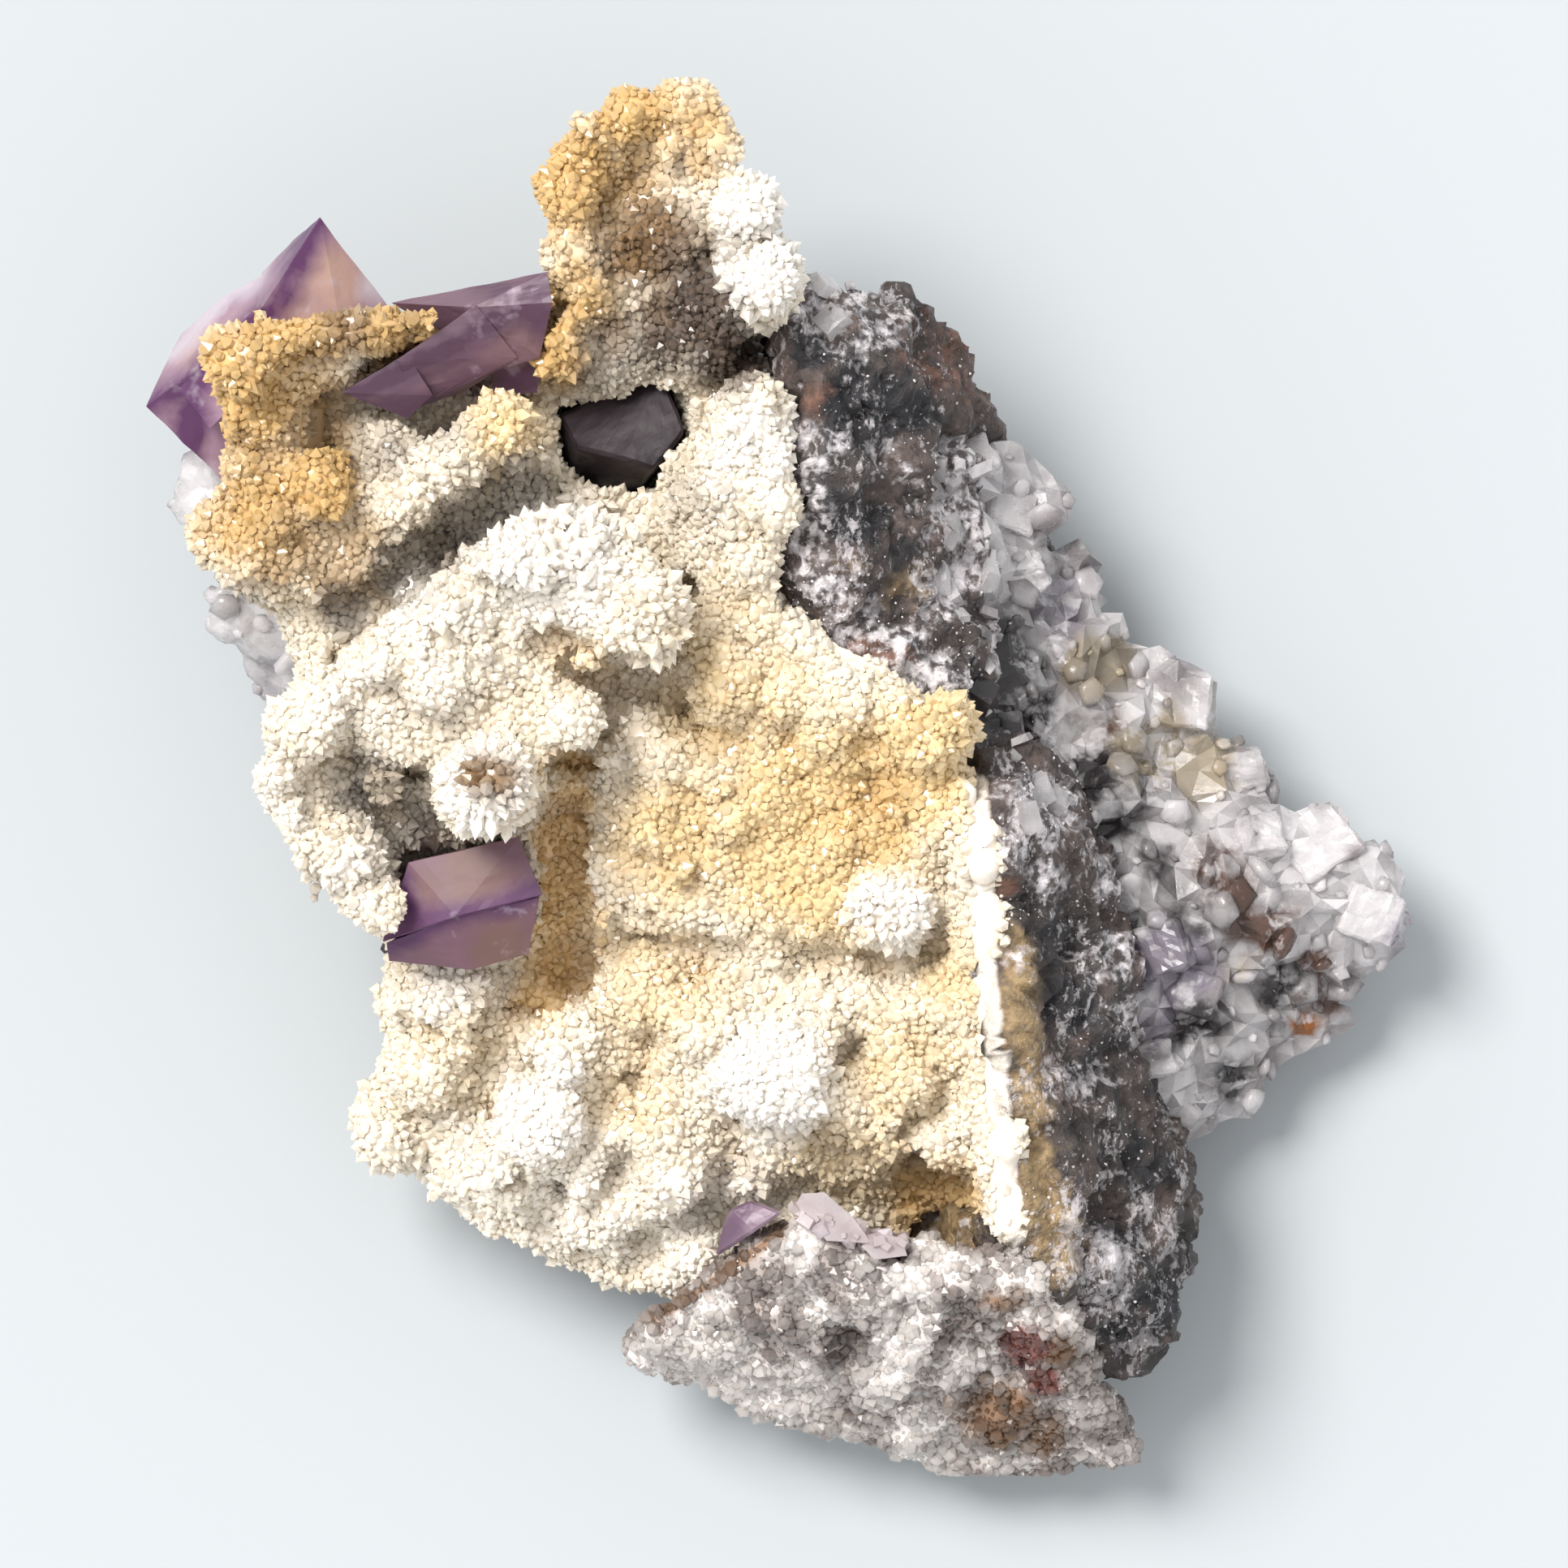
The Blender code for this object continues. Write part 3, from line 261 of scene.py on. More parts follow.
def buildRoughen():
    # moves a mesh along its normals: painted knobs and hollows, rounded clusters, crags, cleavage steps, grain
    usual = {label: value for label, (key, value) in roughSizes.items()}
    tree, given, result = newTree("GeometryNodeTree", "roughen", {"Geometry": "Geometry", **usual},
                                  {"Geometry": "Geometry"})
    place = tree.nodes.new("GeometryNodeInputPosition").outputs[0]
    normal = tree.nodes.new("GeometryNodeInputNormal").outputs[0]

    def scaled(label):
        return mathOf(tree, "DIVIDE", 1.0, given[label])

    clusters = cellsOf(tree, place, scaled("Cluster Size"))["Distance"]
    wide = 1.25  # above 1, the domes over the cells meet in deeper gaps
    bend = mathOf(tree, "POWER", timesOf(tree, clusters, wide), 2.0)
    dome = mathOf(tree, "SQRT", mathOf(tree, "MAXIMUM", lessOf(tree, 1.0, bend), 0.0))
    folds = noiseOf(tree, place, scaled("Crag Size"), 4.0)
    crest = mathOf(tree, "ABSOLUTE", lessOf(tree, folds, 0.5))
    sharp = 5.0  # how steeply the crags fall from their crests
    crag = lessOf(tree, 0.5, timesOf(tree, crest, sharp))
    blocks = cellsOf(tree, place, scaled("Block Size"), distance="MANHATTAN")["Color"]
    step = addNode(tree, "ShaderNodeSeparateXYZ", {0: blocks}).outputs[0]
    grain = noiseOf(tree, place, scaled("Grain Size"))
    height = given["Swell"]
    for amount, size in ((attributeOf(tree, "knobs"), "Knob Height"),
                         (timesOf(tree, attributeOf(tree, "hollows"), -1.0), "Hollow Depth"),
                         (dome, "Cluster Height"), (crag, "Crag Height"),
                         (lessOf(tree, step, 0.5), "Block Height"),
                         (lessOf(tree, grain, 0.5), "Grain Height")):
        height = plusOf(tree, height, timesOf(tree, amount, given[size]))
    domed = storeOf(tree, given["Geometry"], "dome", dome)
    moved = addNode(tree, "GeometryNodeSetPosition",
                    {"Geometry": domed, "Offset": vectorOf(tree, "SCALE", normal, height)})
    feed(tree, result["Geometry"], moved.outputs[0])
    return tree


def buildScatter():
    # stands small shapes on a surface, tilted and sized at random, where "cover" lets them
    tree, given, result = newTree(
        "GeometryNodeTree", "scatter",
        {"Geometry": "Geometry", "Shape": "Object", "Material": "Material", "Spacing": 0.6 * mm,
         "Radius Low": 0.3 * mm, "Radius High": 0.6 * mm, "Length": 1.0, "Tilt": 0.4, "Lift": 0.0,
         "Part": "Int", "Seed": "Int"}, {"Geometry": "Geometry"})

    def chance(low, high, offset, kind="FLOAT"):
        first, output = (2, 1) if kind == "FLOAT" else (0, 0)
        seed = plusOf(tree, given["Seed"], offset)
        node = addNode(tree, "FunctionNodeRandomValue", {first: low, first + 1: high, "Seed": seed},
                       data_type=kind)
        return node.outputs[output]

    inPart = addNode(tree, "FunctionNodeCompare", {2: attributeOf(tree, "part", "INT"), 3: given["Part"]},
                     data_type="INT", operation="EQUAL").outputs[0]
    crowd = 2.2  # more than can stand at this spacing, so that the spacing decides
    spots = addNode(tree, "GeometryNodeDistributePointsOnFaces",
                    {"Mesh": given["Geometry"], "Selection": inPart, "Distance Min": given["Spacing"],
                     "Density Max": mathOf(tree, "DIVIDE", crowd, mathOf(tree, "POWER", given["Spacing"], 2.0)),
                     "Density Factor": attributeOf(tree, "cover"), "Seed": given["Seed"]},
                    distribute_method="POISSON")
    shaded = storeOf(tree, spots.outputs["Points"], "shade", chance(0.0, 1.0, 1))
    lowTilt = vectorOf(tree, "SCALE", (-1.0, -1.0, -6.0), given["Tilt"])
    highTilt = vectorOf(tree, "SCALE", (1.0, 1.0, 6.0), given["Tilt"])
    lean = addNode(tree, "FunctionNodeEulerToRotation", {0: chance(lowTilt, highTilt, 2, "FLOAT_VECTOR")})
    turned = addNode(tree, "FunctionNodeRotateRotation",
                     {0: spots.outputs["Rotation"], 1: lean.outputs[0]}, rotation_space="LOCAL")
    big = mathOf(tree, "POWER", chance(0.0, 1.0, 3), 2.0)  # few are large
    radius = spread(tree, big, given["Radius Low"], given["Radius High"])
    longer = timesOf(tree, plusOf(tree, 1.0, attributeOf(tree, "large")), chance(0.8, 1.3, 4))
    height = timesOf(tree, timesOf(tree, radius, given["Length"]), longer)
    size = addNode(tree, "ShaderNodeCombineXYZ", {0: radius, 1: radius, 2: height}).outputs[0]
    shape = addNode(tree, "GeometryNodeObjectInfo", {"Object": given["Shape"], "As Instance": True})
    placed = addNode(tree, "GeometryNodeInstanceOnPoints",
                     {"Points": shaded, "Instance": shape.outputs["Geometry"],
                      "Rotation": turned.outputs[0], "Scale": size})
    lifted = addNode(tree, "GeometryNodeTranslateInstances",
                     {"Instances": placed.outputs[0],
                      "Translation": addNode(tree, "ShaderNodeCombineXYZ", {2: given["Lift"]}).outputs[0]})
    real = addNode(tree, "GeometryNodeRealizeInstances", {"Geometry": lifted.outputs[0]})
    finished = addNode(tree, "GeometryNodeSetMaterial",
                       {"Geometry": real.outputs[0], "Material": given["Material"]})
    feed(tree, result["Geometry"], finished.outputs[0])
    return tree


roughen = buildRoughen()
scatter = buildScatter()


def runTree(obj, tree, values):
    # runs a geometry tree on obj and returns the plain mesh that it makes
    modifier = obj.modifiers.new(tree.name, "NODES")
    modifier.node_group = tree
    sockets = {item.name: item.identifier for item in tree.interface.items_tree if item.in_out == "INPUT"}
    for name, value in values.items():
        modifier[sockets[name]] = value
    mesh = bakedMesh(obj)
    obj.modifiers.remove(modifier)
    return mesh


def bakedMesh(obj):
    bpy.context.view_layer.update()
    graph = bpy.context.evaluated_depsgraph_get()
    return bpy.data.meshes.new_from_object(obj.evaluated_get(graph), preserve_all_data_layers=True,
                                           depsgraph=graph)


def roughenMesh(obj, look):
    obj.data = runTree(obj, roughen, {label: look[key] for label, (key, usual) in roughSizes.items() if key in look})


# ---- mesh helpers

def newObject(name, mesh):
    obj = bpy.data.objects.new(name, mesh)
    bpy.context.scene.collection.objects.link(obj)
    return obj


def meshFrom(bm, name):
    mesh = bpy.data.meshes.new(name)
    bm.to_mesh(mesh)
    bm.free()
    return mesh


def solidCopy(node, name):
    bm = bmesh.new()
    bm.from_mesh(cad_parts[node].data)
    bmesh.ops.remove_doubles(bm, verts=bm.verts, dist=0.01 * mm)
    for layer in list(bm.loops.layers.uv.values()):
        bm.loops.layers.uv.remove(layer)
    return newObject(name, meshFrom(bm, name))


def corners(mesh):
    places = np.empty(len(mesh.vertices) * 3, np.float32)
    mesh.vertices.foreach_get("co", places)
    return places.reshape(-1, 3)


def keepInBox(mesh):
    # nothing stands proud of the solids' own box
    low, high = [np.array(corner) for corner in solidBox]
    mesh.vertices.foreach_set("co", np.clip(corners(mesh), low, high).astype(np.float32).ravel())
    mesh.update()


def setValues(mesh, name, values, kind="FLOAT"):
    attribute = mesh.attributes.get(name) or mesh.attributes.new(name, kind, "POINT")
    attribute.data.foreach_set("value", values)


def readValues(mesh, name):
    values = np.empty(len(mesh.vertices), np.float32)
    mesh.attributes[name].data.foreach_get("value", values)
    return values


def openTo(mesh, cover, part=None):
    # how thickly small shapes may stand on each place of a skin, and the numbers of its parts
    setValues(mesh, "cover", cover)
    setValues(mesh, "part", np.zeros(len(mesh.vertices), np.int32) if part is None else part, "INT")


def dress(mesh, material):
    mesh.materials.clear()
    mesh.materials.append(material)


def handIn(pieces, node):
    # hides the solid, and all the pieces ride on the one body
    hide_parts(node)
    for piece in pieces:
        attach(piece, "root")


def facesOf(*pieces):
    return sum(len(piece.data.polygons) for piece in pieces)


def paintZones(mesh, zones):
    # each zone is a list of spots (x, y, reach, strength), in millimetres and seen from above
    places = corners(mesh) / mm
    for name, spots in zones.items():
        weight = np.zeros(len(places), np.float32)
        for x, y, reach, strength in spots:
            near = np.clip(1.25 - np.hypot(places[:, 0] - x, places[:, 1] - y) / reach, 0, 1)
            weight = np.maximum(weight, strength * near * near * (3 - 2 * near))
        setValues(mesh, name, weight)


def paintLines(mesh, name, lines, width, strength=1.0):
    # marks a band round a few drawn lines, each a list of points (x, y) in millimetres
    places = corners(mesh)[:, :2] / mm
    nearest = np.full(len(places), 1e9, np.float32)
    for line in lines:
        for start, end in zip(np.array(line, float), np.array(line[1:], float)):
            along = end - start
            share = np.clip(((places - start) @ along) / (along @ along), 0, 1)
            foot = start + share[:, None] * along
            nearest = np.minimum(nearest, np.hypot(*(places - foot).T))
    weight = strength * np.clip(1 - nearest / width, 0, 1).astype(np.float32)
    if name in mesh.attributes:
        weight = np.maximum(weight, readValues(mesh, name))
    setValues(mesh, name, weight)


def dropCrumbs(mesh, fewest=400):
    # takes away small loose islands that remeshing can leave
    bm = bmesh.new()
    bm.from_mesh(mesh)
    seen, crumbs = set(), []
    for start in bm.verts:
        if start in seen:
            continue
        island, front = [start], [start]
        seen.add(start)
        while front:
            for edge in front.pop().link_edges:
                for vert in edge.verts:
                    if vert not in seen:
                        seen.add(vert)
                        island.append(vert)
                        front.append(vert)
        if len(island) < fewest:
            crumbs += island
    bmesh.ops.delete(bm, geom=crumbs, context="VERTS")
    bm.to_mesh(mesh)
    bm.free()


def roughSkin(node, name, look, zones, smoothRounds=2, ridges=()):
    # a fine copy of a solid: remeshed, softened, painted with its zones and roughened
    obj = solidCopy(node, name)
    remesh = obj.modifiers.new("Remesh", "REMESH")
    remesh.mode = "VOXEL"
    remesh.voxel_size = look["voxel"]
    soften = obj.modifiers.new("Soften", "SMOOTH")
    soften.iterations = smoothRounds
    obj.data = bakedMesh(obj)
    obj.modifiers.clear()
    dropCrumbs(obj.data)
    paintZones(obj.data, zones)
    for line, width, strength in ridges:
        paintLines(obj.data, "knobs", [line], width, strength)
    roughenMesh(obj, look)
    obj.data.shade_smooth()
    keepInBox(obj.data)
    return obj


def breakIntoFacets(obj, ratio):
    # turns a fine skin into flat broken facets, each with a chance value of its own
    cut = obj.modifiers.new("Cut", "DECIMATE")
    cut.ratio = ratio
    obj.data = bakedMesh(obj)
    obj.modifiers.clear()
    obj.data.shade_flat()
    facet = obj.data.attributes.new("facet", "FLOAT", "FACE")
    facet.data.foreach_set("value", np.random.default_rng(7).random(len(obj.data.polygons)))


def splitFinely(bm, faceSize, mostFaces=10000):
    # halves every edge until the faces are small enough to paint
    bmesh.ops.triangulate(bm, faces=bm.faces)
    while len(bm.faces) < mostFaces and max(edge.calc_length() for edge in bm.edges) > faceSize:
        bmesh.ops.subdivide_edges(bm, edges=bm.edges, cuts=1, use_grid_fill=True)
        bmesh.ops.triangulate(bm, faces=bm.faces)


def upwardCover(mesh, lowest):
    # how thickly each part of a surface is covered: not at all on its underside
    normals = np.empty(len(mesh.vertices) * 3, np.float32)
    mesh.vertices.foreach_get("normal", normals)
    return np.clip((normals.reshape(-1, 3)[:, 2] - lowest) * 4, 0, 1).astype(np.float32)


def standOn(skin, name, look, shape, material, part=0):
    # covers one part of a skin with small shapes, as a piece of its own
    mesh = runTree(skin, scatter, {
        "Shape": shape, "Material": material, "Spacing": look["spacing"], "Radius Low": look["radius"][0],
        "Radius High": look["radius"][1], "Length": look["length"], "Tilt": look["tilt"], "Lift": look["lift"],
        "Part": part, "Seed": look["seed"] + part})
    if look.get("soft"):
        mesh.shade_smooth()
    keepInBox(mesh)
    return newObject(name, mesh)


def ringShape(name, rings, foot, tip, sides):
    # a small closed crystal: a foot point, a few rings, and a tip that leans a little
    bm = bmesh.new()
    bottom = bm.verts.new(foot)
    loops = []
    for radius, height in rings:
        loops.append([bm.verts.new((radius * math.cos(turn), radius * math.sin(turn), height))
                      for turn in (math.tau * step / sides for step in range(sides))])
    top = bm.verts.new(tip)
    for step in range(sides):
        after = (step + 1) % sides
        bm.faces.new((bottom, loops[0][after], loops[0][step]))
        for low, high in zip(loops, loops[1:]):
            bm.faces.new((low[step], low[after], high[after], high[step]))
        bm.faces.new((loops[-1][step], loops[-1][after], top))
    bmesh.ops.recalc_face_normals(bm, faces=bm.faces)
    mesh = meshFrom(bm, name)
    heights = corners(mesh)[:, 2]
    setValues(mesh, "tip", np.clip(heights / max(heights.max(), 0.01), 0, 1))
    obj = newObject(name, mesh)
    obj.hide_render = True
    return obj


shapeRings = {  # each small shape: its rings (radius, height), its foot, its tip and its number of sides
    "drusePoint": ([(1.0, 0.45)], (0, 0, -1.2), (0.15, 0.05, 1.45), 6),
    "tallPoint": ([(0.85, -0.2), (1.0, 1.3)], (0, 0, -1.2), (0.2, -0.15, 2.3), 6),
    "sugarGrain": ([(0.9, -0.3), (0.85, 0.4)], (0.1, 0, -0.9), (0.1, 0.2, 0.95), 5),
    "meltedChip": ([(0.8, -0.35), (1.0, 0.1), (0.68, 0.46)], (0.1, 0, -0.6), (0.15, 0.1, 0.6), 5),
    "cleavageChip": ([(1.0, -0.45), (0.82, 0.5)], (0.1, 0, -0.65), (0.3, 0.25, 0.64), 4),
}
shapes = {name: ringShape(name, *form) for name, form in shapeRings.items()}
print("node trees and small shapes are ready")


# ---- the druse: a crust of quartz points, white to golden

druseLook = {
    "voxel": 0.42 * mm, "swell": -1.6 * mm, "knobHeight": 1.9 * mm, "hollowDepth": 1.9 * mm,
    "clusterSize": 3.0 * mm, "clusterHeight": 1.4 * mm,
    "grainSize": 0.9 * mm, "grainHeight": 0.5 * mm,
    "edge": (260.0, 0.9, 1.5), "rimEdge": (500.0, 0.5, 3.0),  # of zones: scale, raggedness, sharpness
    "cream": tone(242, 231, 212), "gold": tone(214, 178, 120), "straw": tone(234, 208, 160),
    "white": tone(251, 245, 236), "grey": tone(180, 171, 160), "brown": tone(142, 114, 82),
    "ochre": tone(242, 208, 152), "duskShade": tone(104, 90, 80), "rim": tone(236, 226, 214),
    "hollowShadeShare": 0.3, "gapShadeShare": 0.4, "gapShadeTint": (0.92, 0.85, 0.72), "knobLightShare": 0.25,
    "knobLightTint": (1.12, 1.14, 1.2), "patches": (0.93, 1.04), "varied": (0.93, 1.03),
    "grain": (2600.0, 900.0, 0.6, 0.12, 0.06 * mm), "crustShade": 0.97, "roughness": 0.22, "clearness": 0.2,
}
drusePoints = {"spacing": 0.43 * mm, "radius": (0.28 * mm, 0.5 * mm), "length": 0.9, "tilt": 0.5,
               "lift": -0.2 * mm, "seed": 20}
tallPoints = {"spacing": 0.75 * mm, "radius": (0.27 * mm, 0.48 * mm), "length": 0.85, "tilt": 0.6,
              "lift": -0.2 * mm, "seed": 60}
druseZones = {
    "gold": [(-13.5, 38, 6, 0.9), (-13, 31, 3.6, 0.8), (-9.5, 42.4, 5, 0.8), (-5.6, 41, 4, 0.6),
        (-14.4, 27.5, 3, 0.9), (-34.5, 24, 5, 1), (-33, 18, 7, 0.75), (-28, 14, 5, 0.5), (-31, 28.5, 5, 1),
        (-24, 29.6, 4.5, 1), (-29.5, 18.8, 3, 0.95), (-37, 14, 3, 0.35), (5.4, -1.6, 4.4, 0.5)],
    "straw": [(2, -3, 9.5, 0.95), (7.5, 0.6, 6, 0.95), (-7, -4, 6, 0.75), (-3, 4.5, 6.5, 0.65),
        (10.5, 4, 3, 0.8), (-17.6, 22.6, 3.6, 0.7), (-8, -13, 6, 0.5), (-20, -18, 5, 0.35), (8, -18, 6, 0.5),
        (4, -24, 5, 0.5), (10.8, -12, 4, 0.6), (-4, 9, 5, 0.5), (-10, -19, 5, 0.4)],
    # ochre: gold-brown crust in the channel and the pit, partly painted shade of these crevices
    "ochre": [(-14.3, -4, 2.4, 0.95), (-14.3, -6.8, 2.4, 0.85), (-14.4, -9.5, 2.8, 0.85),
        (-15, -11.5, 2.6, 0.8), (-15.6, -13.6, 2.4, 0.8), (-13.8, -1.4, 1.8, 0.8), (9.5, -27, 4.2, 0.95),
        (-12.4, 7.2, 2.4, 0.4), (-29.6, 23, 3, 0.5), (-13.6, 1.2, 1.6, 1), (-8, 38.5, 3, 0.3),
        (-6, -11.8, 1.6, 0.3)],
    # white: the white crystal tops, and painted light that lifts the shaded left slope of the main lobe
    "white": [(-14.5, 14, 5.6, 1), (-19, 0, 3.2, 1), (-2.6, 36.5, 2.6, 0.8), (-1.7, 31.6, 3.2, 0.8),
        (-0.6, -18.8, 5, 1), (6.6, -8, 3, 1), (-15.5, -20.5, 4.6, 0.8), (-5, -29, 6, 0.6),
        (-21, -25.4, 6, 0.35), (-1.4, 21, 4, 0.9), (-31.5, -1, 3, 0.5), (-27.5, -6, 3, 0.5), (-13, -27, 6, 0.5),
        (-22, -12.4, 4, 0.5), (-22, 9.5, 5, 0.5), (-27, 5, 4, 0.4)],
    # grey: partly greyer crust, partly painted shade in hollows and on the undersides of the lobes, the finger and
    # the horn
    "grey": [(-5, 30, 3.4, 0.8), (-3.4, 27, 3, 0.9), (-26.6, 0, 2.8, 0.9), (-28.6, 2, 1.6, 0.4),
        (-24.5, -2.4, 2.8, 1), (-24, 13.4, 3.4, 0.8), (-20, 16.6, 3.2, 0.8), (-17, 19, 2.6, 0.8),
        (-25, 21, 2.6, 0.7), (-5, 18, 3.6, 0.4), (-22, 3.6, 4.5, 0.2), (-28, 11, 2.4, 0.9), (-3, 34, 2, 0.6),
        (-35, 11.6, 2.4, 0.6), (-21, 22, 2, 0.5), (-33.6, -4, 2, 0.9), (-30, -8, 2, 0.8), (-11, 27, 3, 0.6),
        (-20, -21.6, 3, 0.35), (-3.4, -24.4, 1.8, 0.6), (-9.8, -19, 1.4, 0.5)],
    # brown: partly brown stain, partly painted shade in the horn's dish and on the low side of the left lobe
    "brown": [(-8.6, 34, 4.2, 0.9), (-7, 30, 3, 0.7), (-27.2, 21.6, 1.8, 0.2), (-27.6, 29, 2.6, 0.7),
        (-23.6, 30, 2.4, 0.4), (-31, 15.4, 3.4, 0.4), (-28.4, 13.4, 3, 0.45), (-33.6, 21, 3, 0.3),
        (-29, 26.6, 3, 0.35), (-18.3, 0.3, 1.6, 0.8), (-11, 28.4, 2, 0.5), (-10, 37.6, 2.6, 0.4)],
    # painted shade, mostly in the horn's dish
    "duskShade": [(-5, 30, 3.4, 1), (-3.2, 26.8, 2.8, 1), (-7.6, 27.6, 2.6, 0.7), (-6.4, 33, 2.6, 0.6),
        (-21.6, 14.8, 1.8, 0.6)],
    "large": [(-14.5, 15.4, 5, 0.8), (-9, 10.6, 3, 0.6), (-21, 12, 3, 0.3), (-30, 5, 3, 0.3), (-28, -5, 3, 0.3),
        (-5, -14, 3, 0.3), (-21, -14, 3, 0.3), (-24, -24, 3, 0.3), (6.6, -8, 2.6, 0.4), (-1, 22, 3, 0.3),
        (-19, -0.6, 3.4, 0.7), (-2.6, 36.5, 2.4, 0.3), (-1.7, 31.6, 3, 0.4), (-0.6, -18.8, 3, 0.3),
        (-34.5, 27, 3, 0.4), (10, 3.4, 2.4, 0.4), (-17.6, 22.6, 2.4, 0.1), (-27, 29.6, 3, 0.3),
        (-13.6, 40, 3, 0.3), (-14.6, 27.4, 2, 0.3), (-8, 4.6, 2, 0.3), (-13.6, -16, 2, 0.3)],
    "knobs": [(6.7, -7.8, 2.8, 1), (-0.8, -18.9, 4, 1.2), (3.3, -14.2, 2.6, 0.7), (-8.6, -13.2, 3.2, 0.9),
        (-13.8, -16.8, 2.6, 0.9), (-15.8, -22, 3.2, 1), (-21, -13.7, 3, 0.8), (-22.6, -18.4, 3, 0.9),
        (-25.7, -22.5, 3, 0.8), (-19, -25, 3, 0.8), (-12.7, -27.7, 3, 0.8), (-7, -24.6, 3, 0.9),
        (-5, -31, 2.4, 0.6), (6.9, -18.9, 3, 0.8), (10, -15.8, 2.5, 0.7), (10.6, -22.5, 2.2, 0.7),
        (5.9, -24.6, 2.4, 0.6), (-5, -15.3, 2.4, 0.6), (-8.8, 10.6, 3, 0.9), (-3.4, 6, 2.6, 0.9),
        (3.3, 4.4, 2.6, 0.8), (-0.3, 5.4, 1.8, 0.7), (7.5, 4.4, 2, 0.7), (10, 3.4, 2.2, 0.9),
        (-8.6, 2.3, 2.5, 0.9), (-5, 8.5, 2.2, 0.7), (-13.8, 4.4, 2.3, 0.9), (-19, 0.3, 3.2, 1),
        (-30.4, 3.4, 2.8, 0.7), (-27.3, -4.4, 2.4, 0.8), (-25.7, -7.5, 2, 0.6), (-23, 6.5, 2.8, 0.6),
        (-31.4, 0, 2.2, 0.6), (-26, 6.4, 2.4, 0.5), (-1.3, 24, 3, 0.5), (-4.5, 19, 2.8, 0.6),
        (-3.4, 14.8, 2.5, 0.6), (-1.3, 17, 2.4, 0.5), (-34.5, 27.2, 2.5, 0.8), (-29.3, 19, 2.3, 1.1),
        (-33, 14.8, 3, 0.5), (-18.4, 22.8, 2.6, 0.6), (-21.4, 20, 2.2, 0.7), (-24, 18, 2, 0.6),
        (-16.2, 23.4, 2, 0.5), (-13.8, 38, 2.6, 0.6), (-14, 33, 2, 0.5), (-14.6, 27.2, 2.3, 0.7),
        (-10.7, 42.2, 2.5, 0.5), (-6, 42.4, 2.5, 0.5), (-4.5, 40, 2, 0.4), (-1.9, 36.5, 2.4, 0.9),
        (-1.9, 31.9, 3, 1), (-11.7, 25.4, 2, 0.5), (-11, 12, 2.4, 0.4)],
    "hollows": [(-14.8, 8.6, 1.7, 0.9), (-12.6, 7.4, 1.6, 0.5), (-10.4, 6.6, 1.6, 0.4), (-13.6, 1.2, 1.6, 1),
        (-14.3, -1.8, 1.6, 0.8), (-14.6, -5, 2, 0.8), (-14.3, -7, 2, 0.8), (-14, -9, 2, 0.8),
        (-14.2, -10.6, 1.9, 0.8), (-13.6, -12, 1.8, 0.8), (-28.3, 1.4, 2, 0.5), (-24.7, -1.8, 2, 0.6),
        (9.5, -27.2, 3, 0.5), (-14.5, 14.2, 2.4, 0.15), (-3.4, -24.6, 1.3, 0.9), (-9.8, -19, 1.4, 0.9),
        (-19, -20.8, 1.2, 0.8), (-5.6, -11.6, 1.4, 0.7), (5.9, -11.3, 1.5, 0.7), (-16.6, -14.6, 1.3, 0.8),
        (4, -17.6, 1, 0.6), (-9, -16.4, 1, 0.5), (7.4, -22, 1, 0.6), (-3.6, -21.6, 1.2, 0.5),
        (0, 2.6, 1.2, 0.6), (-6, 4.4, 1.1, 0.6), (5.4, 2.4, 1.2, 0.5), (-22.4, -15.8, 1.1, 0.6),
        (-18, 19.6, 1.2, 0.6)],
}
drusePlaces = {  # the crust's points are made lobe by lobe: a name, and the middle of the lobe
    "hornPoints": (-8, 35), "leftLobePoints": (-29, 20), "mainLobePoints": (-21, 4), "ridgePoints": (-2, 16),
    "yellowHillPoints": (0, -3), "lowerLeftPoints": (-18, -20), "lowerRightPoints": (4, -20),
}
whiteStrip = [(12.3, 0), (12.6, -6), (12.9, -12), (13.4, -17), (13.9, -22), (14.3, -26), (14.6, -29)]


